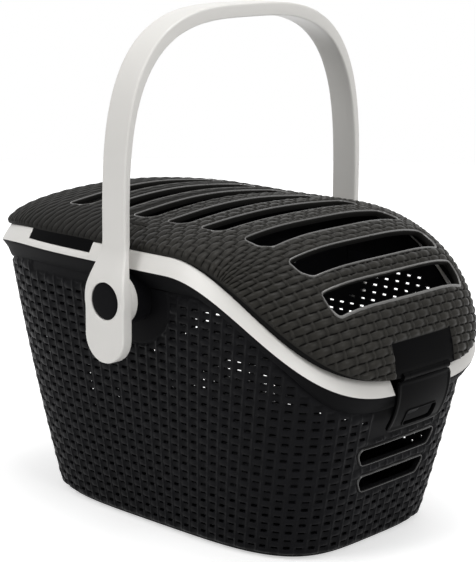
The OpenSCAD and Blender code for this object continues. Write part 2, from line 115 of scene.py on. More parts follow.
def rim_point(t, inset, rise):
    x, y = oval(RIM_LENGTH / 2 - inset, RIM_WIDTH / 2 - inset, RIM_SQUARE, t)
    return np.stack([x, y, seam_z(seam_x(t)) + rise + 0 * x], -1)

# %% The leaning wall
FOOT_L, FOOT_W, FOOT_SQUARE, FOOT_SHIFT = 187.3, 124.8, 4.0, 8.2
TOP_L, TOP_W, TOP_SQUARE, TOP_DRIFT = 246.5, 151.8, 4.3, 0.2
WALL_RISE, WALL_SWELL = 260, 9.6

def wall_point(t, z, inset):
    """A point of the wall, which leans out and swells a little between foot and top."""
    f = z / WALL_RISE
    swell = WALL_SWELL * f * (1 - f)
    lx, ly = oval(FOOT_L - inset, FOOT_W - inset, FOOT_SQUARE, t)
    hx, hy = oval(TOP_L - inset, TOP_W - inset, TOP_SQUARE, t)
    return np.stack([FOOT_SHIFT + lx + (hx - TOP_DRIFT - lx) * f + swell * lx / FOOT_L,
                     ly + (hy - ly) * f + swell * ly / FOOT_W, z + 0 * lx], -1)

def even_turns(places, outline):
    """Turns at which points are evenly spaced along an outline, with no bunching at corners.
    The places are a count of points or their shares of the way round."""
    angle = np.linspace(0, 2 * math.pi, 6001)
    n = TOP_SQUARE
    t = np.unwrap(np.arctan2(signed_power(np.sin(angle) / 152, n / 2),
                             signed_power(np.cos(angle) / 247, n / 2)))
    run = np.concatenate([[0], np.cumsum(np.linalg.norm(np.diff(outline(t), axis=0), axis=1))])
    if isinstance(places, int):
        places = np.arange(places) / places
    return np.interp(places * run[-1], run, t), run[-1]

_, wall_run = even_turns(4, lambda t: wall_point(t, 150.0, 0))
print("round the wall:", round(wall_run), "mm")

# %% [markdown]
# ## Meshes from grids
# A mould's surface is drawn as a grid of points. The helpers here turn grids
# into faces, join several parts into one mesh, and hand the finished mesh to
# Blender in metres. Grids are fast, and every strand stays real geometry. Each
# point also keeps a tone from 0 to 1, the attribute "height": the materials
# read it and paint the bottoms of the grooves darker than the tops, as painted shade.

# %% Collect the faces of a piece
class Shell:
    """Collects points and faces of one piece, in millimetres."""

    def __init__(self):
        self.points, self.faces, self.tones, self.lips, self.count = [], [], [], [], 0

    def add(self, points, tones=None):
        points = np.asarray(points, float).reshape(-1, 3)
        first = self.count
        self.points.append(points)
        self.tones.append(np.ones(len(points)) if tones is None else np.asarray(tones).ravel())
        self.count += len(points)
        return first

    def grid(self, points, closed=False, keep=None, flip=False, tones=None):
        rows, columns = points.shape[:2]
        first = self.add(points, tones)
        i, j = np.meshgrid(np.arange(rows if closed else rows - 1),
                           np.arange(columns - 1), indexing="ij")
        if keep is not None:
            i, j = i[keep], j[keep]
        i, j = i.ravel(), j.ravel()
        i2 = (i + 1) % rows
        quads = np.stack([i * columns + j, i2 * columns + j,
                          i2 * columns + j + 1, i * columns + j + 1], -1) + first
        self.faces.extend((quads[:, ::-1] if flip else quads).tolist())
        return first

    def loft(self, lines, closed=True, flip=False, tones=None):
        """Joins lines of points, given from one edge to the other, with one tone a line."""
        if tones is not None:
            tones = np.repeat([tones], len(lines[0]), 0)
        return self.grid(np.stack(lines, 1), closed, None, flip, tones)

    def cap(self, line, flip=False):
        first = self.add(line)
        face = list(range(first, first + len(line)))
        self.faces.append(face[::-1] if flip else face)

    def to_mesh(self, name):
        mesh = bpy.data.meshes.new(name)
        mesh.from_pydata((np.concatenate(self.points) / 1000).tolist(), [], self.faces)
        return mesh

# %% Hand a piece to Blender
def make_piece(name, shell, material, body, node, sharp=None, accent=None, lips=None):
    """A piece that stands for a node. An accent is a second material and where it goes;
    the faces noted as lips take a material of their own, which may carry a painted highlight."""
    mesh = shell.to_mesh(name)
    # the attribute "height" holds each point's tone of painted shade
    height = mesh.attributes.new("height", "FLOAT", "POINT")
    height.data.foreach_set("value", np.concatenate(shell.tones).astype(np.float32))
    mesh.materials.append(material)
    kind = np.zeros(len(mesh.polygons), np.int32)
    if accent:
        mesh.materials.append(accent[0])
        centres = np.zeros(3 * len(mesh.polygons))
        mesh.polygons.foreach_get("center", centres)
        x, y, z = centres.reshape(-1, 3).T * 1000
        kind[accent[1](x, y, z)] = 1
    if shell.lips:
        mesh.materials.append(lips)
        kind[np.array(shell.lips)] = len(mesh.materials) - 1
    mesh.polygons.foreach_set("material_index", kind)
    mesh.validate()
    mesh.shade_smooth()
    if sharp:
        mesh.set_sharp_from_angle(angle=math.radians(sharp))
    piece = add_object(name, mesh)
    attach(piece, body)
    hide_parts(node)
    print(name, len(mesh.polygons), "faces")
    return piece

def turned(shell, x, z, profile, count=64):
    """A round part along Y, closed at both ends, from a profile of places and radii."""
    turn = np.arange(count) * 2 * math.pi / count
    ahead = profile[-1][0] > profile[0][0]
    lines = [np.stack([x + r * np.cos(turn), y + 0 * turn, z + r * np.sin(turn)], -1)
             for y, r in profile]
    shell.loft(lines, flip=not ahead)
    shell.cap(lines[0], flip=ahead)
    shell.cap(lines[-1], flip=not ahead)

def rod(shell, x, y0, y1, z, radius, count):
    turned(shell, x, z, [(y0, radius), (y1, radius)], count)

# %% [markdown]
# ## Slots with clean edges
# Slots are cut from a grid in two steps: faces inside the slot go, and the
# points left on the ragged edge move onto the slot's outline. A swept border
# then gives the slot its thin raised lip and the dark wall inside it. A Boolean
# would also cut them, but it leaves slivers on so fine a relief.

# %% Distance to an outline
FAR = 1e9

def outline_distance(p, q, outline):
    """Signed distance to a closed outline, negative inside, and the nearest point on it."""
    best = np.full(p.shape, FAR)
    near_p, near_q = np.zeros(p.shape), np.zeros(p.shape)
    inside = np.zeros(p.shape, bool)
    for (ax, ay), (bx, by) in zip(outline, np.roll(outline, -1, axis=0)):
        dx, dy = bx - ax, by - ay
        s = np.clip(((p - ax) * dx + (q - ay) * dy) / (dx * dx + dy * dy + 1e-12), 0, 1)
        cx, cy = ax + s * dx, ay + s * dy
        gap = np.hypot(p - cx, q - cy)
        nearer = gap < best
        best[nearer], near_p[nearer], near_q[nearer] = gap[nearer], cx[nearer], cy[nearer]
        crosses = (ay > q) != (by > q)
        inside ^= crosses & (p < ax + (q - ay) * dx / (dy if dy else 1e-12))
    return np.where(inside, -best, best), near_p, near_q

def cut_field(p, q, holes, region=None):
    """How far a place is cut away (negative where material stays), and the nearest edge."""
    field, near_p, near_q = np.full(p.shape, -FAR), p.copy(), q.copy()
    for outline, sign in [(h, -1) for h in holes] + ([(region, 1)] if region is not None else []):
        d, a, b = outline_distance(p, q, outline)
        d = d * sign
        worse = d > field
        field[worse], near_p[worse], near_q[worse] = d[worse], a[worse], b[worse]
    return field, near_p, near_q

def face_mean(values):
    return (values[:-1, :-1] + values[1:, :-1] + values[1:, 1:] + values[:-1, 1:]) / 4

def edge_points(keep):
    """Grid points that touch both a kept and a removed face."""
    rows, columns = keep.shape[0] + 1, keep.shape[1] + 1
    kept, gone = np.zeros((rows, columns), bool), np.zeros((rows, columns), bool)
    for di in (0, 1):
        for dj in (0, 1):
            kept[di:rows - 1 + di, dj:columns - 1 + dj] |= keep
            gone[di:rows - 1 + di, dj:columns - 1 + dj] |= ~keep
    return kept & gone

# %% Outlines and their borders
def rounded(corners, radius, steps=5):
    """Rounds the corners of an outline."""
    corners = np.asarray(corners, float)
    points = []
    for k in range(len(corners)):
        here, before, after = corners[k], corners[k - 1], corners[(k + 1) % len(corners)]
        a, b = before - here, after - here
        la, lb = np.linalg.norm(a), np.linalg.norm(b)
        r = min(radius, la * 0.45, lb * 0.45)
        start, end = here + a / la * r, here + b / lb * r
        for s in np.linspace(0, 1, steps + 1):
            points.append((1 - s) ** 2 * start + 2 * s * (1 - s) * here + s * s * end)
    return np.array(points)

def spaced(outline, step):
    """Spreads points evenly along a closed outline."""
    loop = np.vstack([outline, outline[:1]])
    run = np.concatenate([[0], np.cumsum(np.linalg.norm(np.diff(loop, axis=0), axis=1))])
    places = np.linspace(0, run[-1], max(8, int(run[-1] / step)), endpoint=False)
    return np.stack([np.interp(places, run, loop[:, 0]), np.interp(places, run, loop[:, 1])], -1)

def outward(outline):
    """Outward direction at each point of a closed outline that runs counter-clockwise."""
    along = np.roll(outline, -1, axis=0) - np.roll(outline, 1, axis=0)
    normal = np.stack([along[:, 1], -along[:, 0]], -1)
    return normal / np.linalg.norm(normal, axis=1)[:, None]

LIP_FACES = 4

def border(shell, outline, surface, lip_width, lip_height, depth, painted_highlight_lip=True):
    """Sweeps a raised lip and the slot's inner wall round an outline. The lip's faces can take a
    material with a painted highlight, and the tones paint shade down the inner wall.
    """
    direction = outward(outline)
    profile = [(lip_width, -0.4), (lip_width * 0.75, lip_height * 0.5),
               (lip_width * 0.4, lip_height), (0.1, lip_height * 0.9),
               (-0.3, lip_height * 0.2), (-0.4, -depth * 0.5), (-0.2, -depth)]
    lines = []
    for out, rise in profile:
        at = outline + direction * out
        point, normal = surface(at[:, 0], at[:, 1])
        lines.append(point + normal * rise)
    first = len(shell.faces)
    # painted shade: the tones darken the slot's inner wall towards its bottom
    shell.loft(lines, flip=True, tones=[1.0, 1.0, 1.0, 0.8, 0.4, 0.15, 0.0])
    if painted_highlight_lip:
        shell.lips.extend(k for k in range(first, len(shell.faces))
                          if (k - first) % (len(profile) - 1) < LIP_FACES)

# %% [markdown]
# ## Materials
# All of the carrier is satin polypropylene, dark or off-white. Such plastic is
# never quite even: the mould leaves a fine grain, and the gloss and the colour
# drift a little over the surface. One node group makes that grain, and each
# material uses it in its own strength. Colours could also come from a picture,
# but noise in object space needs no unwrapping and is sharp at any distance.

# %% The grain of moulded plastic
PATCH_SCALE, GRAIN_SCALE = 14.0, 900.0

def add_node(tree, kind, values=None, **settings):
    """A node with its settings, and with each input set to a value or linked to a socket."""
    node = tree.nodes.new("ShaderNode" + kind)
    for label, value in settings.items():
        setattr(node, label, value)
    for label, value in (values or {}).items():
        if isinstance(value, bpy.types.NodeSocket):
            tree.links.new(value, node.inputs[label])
        else:
            node.inputs[label].default_value = value
    return node

def grain_group():
    group = bpy.data.node_groups.new("moulded_grain", "ShaderNodeTree")
    for label, value in (("Patch Scale", PATCH_SCALE), ("Grain Scale", GRAIN_SCALE)):
        socket = group.interface.new_socket(label, in_out="INPUT", socket_type="NodeSocketFloat")
        socket.default_value = value
    for label in ("Patches", "Grain"):
        group.interface.new_socket(label, in_out="OUTPUT", socket_type="NodeSocketFloat")
    inputs, outputs = group.nodes.new("NodeGroupInput"), group.nodes.new("NodeGroupOutput")
    place = add_node(group, "TexCoord").outputs["Object"]
    for scale, detail, out in (("Patch Scale", 5, "Patches"), ("Grain Scale", 2, "Grain")):
        texture = add_node(group, "TexNoise", {"Vector": place, "Scale": inputs.outputs[scale],
                                               "Detail": detail})
        group.links.new(texture.outputs["Fac"], outputs.inputs[out])
    return group

grain = grain_group()
print("group:", grain.name)

# %% The plastics
def plastic(name, dark, light, rough, gloss=0.5, bump=0.15, patch_scale=PATCH_SCALE, groove_shade=None):
    """Satin moulded plastic: its colour drifts between two values, its roughness round one.
    With a groove shade colour, low places of the relief get painted shade and are duller than its
    tops."""
    material = bpy.data.materials.new(name)
    material.use_nodes = True
    tree = material.node_tree
    shader = tree.nodes["Principled BSDF"]
    shader.inputs["Specular IOR Level"].default_value = gloss
    surface = add_node(tree, "Group", {"Patch Scale": patch_scale, "Grain Scale": GRAIN_SCALE},
                       node_tree=grain).outputs
    colour = add_node(tree, "Mix", {"A": (*dark, 1), "B": (*light, 1),
                                    "Factor": surface["Patches"]},
                      data_type="RGBA").outputs["Result"]
    roughness = add_node(tree, "MapRange", {
        "From Min": 0.3, "From Max": 0.7, "To Min": rough - 0.05, "To Max": rough + 0.05,
        "Value": surface["Patches"]}).outputs["Result"]
    if groove_shade:
        # painted shade: the point's tone in the attribute "height" mixes the groove shade colour
        # into the colour
        height = add_node(tree, "Attribute", attribute_name="height").outputs["Fac"]
        colour = add_node(tree, "Mix", {"A": (*groove_shade, 1), "B": colour, "Factor": height},
                          data_type="RGBA").outputs["Result"]
        roughness = add_node(tree, "Mix", {"A": 0.75, "B": roughness,
                                           "Factor": height}).outputs["Result"]
    relief = add_node(tree, "Bump", {"Strength": bump, "Distance": 0.0002,
                                     "Height": surface["Grain"]})
    for label, socket in (("Base Color", colour), ("Roughness", roughness),
                          ("Normal", relief.outputs["Normal"])):
        tree.links.new(socket, shader.inputs[label])
    return material

# The groove shade colours are painted shade: the low places of the woven relief are painted nearly
# black.
basket_plastic = plastic("basket_plastic", (0.0042, 0.0042, 0.0049), (0.0085, 0.0085, 0.0097), 0.36,
                         gloss=0.04, groove_shade=(0.001, 0.001, 0.0012))
lid_plastic = plastic("lid_plastic", (0.0150, 0.0141, 0.0120), (0.0290, 0.0272, 0.0235), 0.34,
                      gloss=0.1, groove_shade=(0.001, 0.001, 0.0009))
smooth_dark_plastic = plastic("smooth_dark_plastic", (0.0012, 0.0012, 0.0014),
                              (0.0024, 0.0024, 0.0027), 0.30, gloss=0.02)
cap_plastic = plastic("cap_plastic", (0.0024, 0.0024, 0.0030), (0.0042, 0.0042, 0.005), 0.4,
                      gloss=0.03, bump=0.08)
pale_plastic = plastic("pale_plastic", (0.70, 0.685, 0.655), (0.755, 0.742, 0.715), 0.36,
                       bump=0.05, patch_scale=6.0)
print("materials:", len(bpy.data.materials))

# %% [markdown]
# The lips round the openings are glossier, and their colour is a painted highlight,
# lighter than the plastic round them, so they show as fine light lines, most of all
# those on top of the lid. They get finishes of their own.

# %% The glossy lips with a painted highlight
vent_lip_highlight_plastic = plastic("vent_lip_highlight_plastic", (0.0220, 0.0215, 0.0206), (0.0300, 0.0293, 0.0283),
                           0.26, gloss=0.5, bump=0.05)
slot_lip_highlight_plastic = plastic("slot_lip_highlight_plastic", (0.1000, 0.0980, 0.0940), (0.1400, 0.1370, 0.1320),
                           0.24, gloss=0.6, bump=0.05)
print("materials:", len(bpy.data.materials))

# %% [markdown]
# ## The woven relief
# The mould imitates rattan: flat strands run round the basket and pass in
# front of and behind narrow upright stakes. The relief is a height over two
# counters, `u` in stakes and `v` in strands. Neighbouring strands swing in
# opposite ways. It is real geometry, not a bump, so it shows in the outline.

# %% Height of the weave
def woven(u, v, roundness, swing, stake, stake_half, always_over, strand_half=0.5):
    """Height of the woven relief in millimetres; swing and stake may vary over the piece."""
    a = u - np.round(u)
    row = np.floor(v)
    b = v - row - 0.5
    body = np.sqrt(np.clip(1 - (np.abs(b) / strand_half) ** 2.6, 0, 1))
    turn = np.pi * (u + row)
    phase = np.sin(turn) if always_over else np.cos(turn)
    strand = roundness * body + swing * phase * body ** 0.6
    across = np.sqrt(np.clip(1 - (a / stake_half) ** 2, 0, 1))
    if always_over:
        bar = np.where(np.abs(a) < stake_half, stake * across + 0.35 * roundness, 0)
    else:
        dip = 0.55 - 0.55 * phase * np.cos(np.pi * b)
        bar = np.where(np.abs(a) < stake_half, dip * stake * across + 0.1, 0)
    return np.maximum(strand, bar)

# %% [markdown]
# ## The basket
# The wall leans outward from the floor to the flange. 96 stakes stand round it
# and the strands lie level, so the grid's lines follow both. The S-curve of
# the flange cuts across the strands, as it does in the mould: points above the
# curve are pulled down onto it.

# %% Lines of the wall's grid
STAKES, ROWS, ROW, FIRST_ROW = 96, 31, 8.6, 4.2
STAKE_LINES = np.array([0, 0.06, 0.11, 0.24, 0.37, 0.5, 0.63, 0.76, 0.89, 0.94])
ROW_LINES = np.array([0.14, 0.25, 0.42, 0.58, 0.75, 0.86])
FLANGE, WALL = 19.0, 2.0
wall_u = (np.arange(STAKES)[:, None] + STAKE_LINES).ravel()
wall_v = np.concatenate([[0.0], (np.arange(ROWS)[:, None] + ROW_LINES).ravel()])
wall_z = FIRST_ROW + wall_v * ROW
wall_t, _ = even_turns(wall_u / STAKES, lambda t: wall_point(t, 150.0, 0))
flange_curve = seam_z(seam_x(wall_t)) - FLANGE
print("grid:", len(wall_u), "x", len(wall_v))

# %% The vents in the front wall
FRONT_X = 150

def vent_outline(z, half):
    return rounded([(-half + 6, z), (half - 6, z), (half, z + 10.2), (half, z + 14),
                    (half - 3, z + 17), (-half + 3, z + 17), (-half, z + 14), (-half, z + 10.2)], 3)

vents = [vent_outline(65, 50), vent_outline(95, 58)]

def front_wall(y, z):
    """Point and outward direction of the front wall at a width and a height."""
    def at(yy, zz):
        low, high = np.full(yy.shape, -math.pi / 2 + 1e-4), np.full(yy.shape, math.pi / 2 - 1e-4)
        for _ in range(34):
            mid = (low + high) / 2
            less = wall_point(mid, zz, 0.0)[..., 1] < yy
            low, high = np.where(less, mid, low), np.where(less, high, mid)
        return wall_point((low + high) / 2, zz, 0.0)
    y, z = np.asarray(y, float), np.asarray(z, float)
    point = at(y, z)
    side, up = at(y + 0.5, z) - point, at(y, z + 0.5) - point
    normal = np.cross(side, up)
    return point, normal / np.linalg.norm(normal, axis=-1)[..., None]

# %% [markdown]
# Round the pivots, behind the clasp, along the vents and in a strip under the
# flange the wall is plain. One distance field holds all of that, and the relief
# fades out over its first millimetres.

# %% Where the wall is plain
PIVOT = np.array([8.0, 246.5])
CLASP_Z, CLASP_LOW = 187.268, 130.268
PAD = 49
OPEN = 99

def wall_plainness(x, y, z, top):
    """How far a place of the wall is from the nearest plain one, negative inside it."""
    pad = np.hypot(x - PIVOT[0], z - PIVOT[1]) - PAD
    clasp = np.where(x > 100, np.maximum(np.abs(y) - 50, 121 - z), OPEN)
    strip = np.where(np.abs(x + 95) < 56, 10.0, 1.0)
    gap = np.minimum.reduce([pad, clasp, top - z - strip, z - 4.6])
    for outline in vents:
        d = np.where(x > FRONT_X, outline_distance(y, z, outline)[0], OPEN)
        gap = np.minimum(gap, d - 2.4)
    return gap

# %% Raise the relief
def foot_inset(z):
    """How far the rounded foot of the wall draws in."""
    return 7.2 * (1 - np.sqrt(1 - np.clip(1 - z / 9, 0, 1) ** 2))

def raised_wall():
    """Points of the wall with their relief, their distance from plain places and their tones of
    painted shade.
    """
    Z = np.minimum(wall_z[None, :], flange_curve[:, None])
    T = np.repeat(wall_t[:, None], len(wall_z), 1)
    P = wall_point(T, Z, foot_inset(Z))
    closed = np.concatenate([P[-1:], P, P[:1]])
    along = closed[2:] - closed[:-2]
    up = (wall_point(T, Z + 1.0, foot_inset(Z + 1.0))
          - wall_point(T, Z - 1.0, foot_inset(Z - 1.0)))
    N = np.cross(along, up)
    N /= np.linalg.norm(N, axis=2)[..., None]
    gap = wall_plainness(P[..., 0], P[..., 1], P[..., 2], flange_curve[:, None])
    share = np.clip(gap / 2.5, 0, 1)
    U, V = np.meshgrid(wall_u, wall_v, indexing="ij")
    H = woven(U, V, 1.7, 0.85, 1.55, 0.13, True, 0.47)
    # painted shade: plain places take a tone of 0.6, and the relief's tone follows its height,
    # darkest between the strands
    tones = 0.6 * (1 - share) + share * np.clip((H + 0.1) / 1.5, 0, 1)
    pad = np.clip((PAD + 1 - np.hypot(P[..., 0] - PIVOT[0], P[..., 2] - PIVOT[1])) / 2.0, 0, 1)
    H = np.maximum(H * share, 1.3 * pad * (Z < flange_curve[:, None] - 0.2))
    return P + N * H[..., None], gap, tones

# %% [markdown]
# The gaps between strands and stakes are real holes through the wall, so the
# light shows through them. Near the floor they are blind, as in the picture:
# there the inner skin stays behind them. The inner skin has its lines only at
# the holes, and four faces close each hole's sides.

# %% Holes and inner skin
LOWEST_HOLE = 62.0
HOLE_LINES = (3, 7)
PER_STAKE, PER_ROW = len(STAKE_LINES), len(ROW_LINES)

def under(z, top):
    """Faces of the wall's closed grid that lie under a curve."""
    return z[None, :-1] < np.maximum(top, np.roll(top, -1))[:, None]

def find_holes(gap):
    """Stake, row and grid lines of each hole between the strands."""
    holes = []
    for k in range(1, ROWS):
        z = FIRST_ROW + k * ROW
        for c in range(STAKES):
            i0, i1 = (c * PER_STAKE + line for line in HOLE_LINES)
            plain = gap[i0:i1 + 1, PER_ROW * k:PER_ROW * k + 2].min()
            if min(plain, flange_curve[i0] - z - 4) > 2.6:
                holes.append((c, k, i0, i1))
    return holes

def in_vents(points):
    """Faces of a closed grid whose middle lies in a vent."""
    wrap = np.concatenate([points, points[:1]])
    x, y, z = (face_mean(wrap[..., k]) for k in range(3))
    inside = [outline_distance(y, z, outline)[0] < 1.0 for outline in vents]
    return np.logical_or.reduce(inside) & (x > FRONT_X)

def inner_skin(shell, holes):
    """The plain inside of the wall. Gives its first point and its number of columns."""
    i = (np.arange(STAKES)[:, None] * PER_STAKE + np.array(HOLE_LINES)).ravel()
    j = np.concatenate([[0], (np.arange(1, ROWS)[:, None] * PER_ROW + np.array([0, 1])).ravel()])
    top = flange_curve[i] - 6
    z = np.minimum(wall_z[j][None, :], top[:, None])
    points = wall_point(np.repeat(wall_t[i][:, None], len(j), 1), z, WALL)
    keep = under(wall_z[j], top)
    for c, k, _, _ in holes:
        keep[2 * c, 2 * k - 1] = FIRST_ROW + k * ROW < LOWEST_HOLE
    keep &= ~in_vents(points)
    return shell.grid(points, closed=True, keep=keep, flip=True), len(j)

def line_holes(shell, holes, outer, inner, m):
    """Closes the sides of every hole between the wall's face and the inner skin."""
    columns = len(wall_z)
    for c, k, i0, i1 in holes:
        low = [outer + i * columns + PER_ROW * k for i in range(i0, i1 + 1)]
        high = [point + 1 for point in low]
        a = inner + 2 * c * m + 2 * k - 1
        b = a + m
        shell.faces.append(low[::-1] + [a, b])
        shell.faces.append(high + [b + 1, a + 1])
        shell.faces.append([low[0], high[0], a + 1, a])
        shell.faces.append([high[-1], low[-1], b, b + 1])

# %% Build the wall
def build_wall():
    shell = Shell()
    P, gap, tones = raised_wall()
    in_front = P[..., 0] > FRONT_X
    field = np.full(P.shape[:2], -float(OPEN))
    near = P[..., 1:3].copy()
    f, a, b = cut_field(P[..., 1][in_front], P[..., 2][in_front], vents)
    field[in_front], near[in_front] = f, np.stack([a, b], -1)
    keep = under(wall_z, flange_curve) & (face_mean(np.concatenate([field, field[:1]])) < 0)
    holes = find_holes(gap)
    for _, k, i0, i1 in holes:
        keep[i0:i1, PER_ROW * k] = False
    edge = edge_points(np.concatenate([keep[-1:], keep]))[1:-1] & (np.abs(field) < 6) & in_front
    P[edge], _ = front_wall(near[..., 0][edge], near[..., 1][edge])
    outer = shell.grid(P, closed=True, keep=keep, tones=tones)
    inner, columns = inner_skin(shell, holes)
    line_holes(shell, holes, outer, inner, columns)
    return shell, len(holes)

basket_shell, hole_count = build_wall()
print("holes between the strands:", hole_count)

# %% [markdown]
# Under the rim a smooth flange leans outward to the seam. Above it come the
# ledge that the pale band sits on, and a rib that holds the band and the lid.
# The rib's top runs just under the nearest top edge of the band, so that no
# light comes through between the two on the long slope. All of them follow the
# same turns as the wall, so their lines meet it.

# %% Flange, ledge, rib and floor
RIB = (12.8, 15.4)

def outward_of(t):
    x, y = oval(1.0, 0.7, 3.2, t)
    d = np.stack([np.sign(x) * np.abs(x) ** 2.2, np.sign(y) * (np.abs(y) / 0.7) ** 2.2, 0 * x], -1)
    return d / np.linalg.norm(d, axis=1)[:, None]

def level_with_band(x, y, above):
    """Height of the band's nearest top edge, plus a little, over places seen from above."""
    edge = rim_point(np.linspace(0, 2 * math.pi, 1441), 10.5, 16.5)
    near = np.argmin((x[:, None] - edge[:, 0]) ** 2 + (y[:, None] - edge[:, 1]) ** 2, axis=1)
    return edge[near, 2] + above

def rib_top(t, inset):
    point = rim_point(t, inset, 0.0)
    point[:, 2] = level_with_band(point[:, 0], point[:, 1], -0.5)
    return point

def add_flange(shell, t):
    top, out, away = wall_point(t, flange_curve, 0.0), rim_point(t, 6.0, -9.0), outward_of(t)
    lines = [top, top + away * 1.1, top + (out - top) * 0.06 + away * 1.3,
             top + (out - top) * 0.3 + away * 1.5, out + away * 0.9]
    lines += [rim_point(t, inset, rise) for inset, rise in (
        (2.4, -4.2), (0.7, -1.9), (0.4, -0.3), (4.4, -0.3), (RIB[0], -0.3))]
    lines += [rib_top(t, RIB[0]), rib_top(t, RIB[1]), rim_point(t, RIB[1], -5.0),
              wall_point(t, flange_curve - 6, WALL)]
    # painted shade under the band: the flange, ledge and rib take a tone of 0.35
    shell.loft(lines, tones=[0.35] * len(lines))

def add_floor(shell, t):
    foot = [wall_point(t, z + 0 * t, foot_inset(z)) for z in (0.0, 0.5, 1.4, 2.7, FIRST_ROW)]
    # painted shade under the leaning wall: the foot takes a tone of 0.15
    shell.loft(foot, tones=[0.15] * len(foot))
    shell.cap(foot[0], flip=True)
    floor_line = wall_point(t, 3.5 + 0 * t, 3.0)
    shell.loft([wall_point(t, FIRST_ROW + 0 * t, WALL), floor_line])
    shell.cap(floor_line)

add_flange(basket_shell, wall_t)
add_floor(basket_shell, wall_t)
print("flange from", round(flange_curve.min()), "to", round(flange_curve.max()), "mm")

# %% [markdown]
# The bosses and spigots carry the handle, and the catch shows through the
# clasp's window.

# %% Borders, pivots and catch
for outline in vents:
    border(basket_shell, spaced(outline, 1.5), front_wall, 1.8, 1.5, 4.6)
for side in (-1, 1):
    rod(basket_shell, PIVOT[0], side * 148, side * 171.2, PIVOT[1], 26, 48)
    rod(basket_shell, PIVOT[0], side * 171, side * 185.6, PIVOT[1], 12, 48)
nose = [np.array([(x, y, z) for x, z in ((222, 131), (233, 139.5), (239.2, 146.9),
                                         (239.4, 149.2), (232, 152.6))]) for y in (-17, 17)]
basket_shell.cap(nose[0])
basket_shell.cap(nose[1], flip=True)
basket_shell.grid(np.array(nose), flip=True)
basket = make_piece("woven_basket", basket_shell, basket_plastic, "basket_body", "basket",
                    sharp=48, lips=vent_lip_highlight_plastic)

# %% [markdown]
# ## The rim band
# The pale band is a leaning strip with softly rounded edges. It stops at the
# clasp, and on both sides its upper edge is cut down where the rear lid's tabs
# come over it. Each stretch is lofted between planes, so its ends are square.

# %% Section and lines of the band
BAND_HEIGHT, BAND_LEAN, BAND_THICK = 16.5, 9.0, 3.2
NOTCH_REAR, NOTCH_FRONT, NOTCH_HEIGHT = -141.0, -42.0, 10.0
CLASP_GAP = 43.0

def band_section(height):
    """Inset and rise of the band's section, all the way round."""
    lean = BAND_LEAN / BAND_HEIGHT
    r = 0.9
    outer = [(0.25, 0.0), (0.0, 0.3)] + [(lean * h - 0.35 * math.sin(math.pi * h / height), h)
                                         for h in np.linspace(height * 0.12, height - r, 6)]
    top = [(lean * (height - 0.3) + 0.25, height - 0.25), (lean * height + r, height),
           (lean * height + BAND_THICK - 0.7, height), (lean * height + BAND_THICK, height - 0.7)]
    inner = [(lean * height * 0.5 + BAND_THICK, height * 0.5), (BAND_THICK, 0.0)]
    return np.array(outer + top + inner)

def band_line(section, turn=None, x=None, y=None, side=1):
    """One line of the band: at a turn, or in a plane across the band."""
    inset, rise = section[:, 0], section[:, 1]
    a, b = RIM_LENGTH / 2 - inset, RIM_WIDTH / 2 - inset
    if x is not None:
        t = side * np.arccos(np.sign(x) * (abs(x) / a) ** (RIM_SQUARE / 2))
    elif y is not None:
        t = side * np.arcsin((abs(y) / b) ** (RIM_SQUARE / 2))
    else:
        t = np.full(len(inset), turn)
    px, py = oval(a, b, RIM_SQUARE, t)
    return np.stack([px, py, seam_z(seam_x(t)) + rise], -1)

def turn_at(**plane):
    """The turn at which a plane cuts the middle of the band."""
    line = band_line(np.array([[4.0, 8.0]]), **plane)
    return math.atan2(signed_power(line[0, 1] / (RIM_WIDTH / 2 - 4), RIM_SQUARE / 2),
                      signed_power(line[0, 0] / (RIM_LENGTH / 2 - 4), RIM_SQUARE / 2))

# %% Loft the band's five stretches
def add_stretch(shell, start, end, height):
    section = band_section(height)
    fine, _ = even_turns(900, lambda t: rim_point(t, 4.0, 8.0))
    fine = np.mod(fine + math.pi, 2 * math.pi) - math.pi
    a, b = turn_at(**start), turn_at(**end)
    if b <= a:
        b += 2 * math.pi
    between = np.sort([v + k for v in fine for k in (0, 2 * math.pi)
                       if a + 0.004 < v + k < b - 0.004])
    lines = ([band_line(section, **start)] + [band_line(section, turn=v) for v in between]
             + [band_line(section, **end)])
    grid = np.stack(lines)
    shell.grid(np.concatenate([grid, grid[:, :1]], 1))
    shell.cap(lines[0])
    shell.cap(lines[-1], flip=True)

band_shell = Shell()
band_ends = [dict(y=CLASP_GAP, side=1), dict(x=NOTCH_FRONT, side=1), dict(x=NOTCH_REAR, side=1),
             dict(x=NOTCH_REAR, side=-1), dict(x=NOTCH_FRONT, side=-1), dict(y=CLASP_GAP, side=-1)]
full, low = BAND_HEIGHT, BAND_HEIGHT - NOTCH_HEIGHT
for start, end, height in zip(band_ends, band_ends[1:], (full, low, full, low, full)):
    add_stretch(band_shell, start, end, height)
band = make_piece("pale_rim_band", band_shell, pale_plastic, "basket_body", "rim_band",
                  sharp=40)

# %% [markdown]
# ## The lid's surface
# The lid is a low dome that comes down to the band all round. Its height is a
# function of the place seen from above. The woven rows cross it from side to
# side, and towards the clasp end they lie in planes that lean back more and
# more, so the grid is made of such leaning sections, evenly divided.

# %% Height of the lid
LID_L, LID_W, LID_SHIFT, LID_SEAT, LID_WALL = 252.5, 158.8, 2.5, 16.8, 2.6
CROWN, CROWN_RISE, CAMBER = 316.7, 12.3, 5

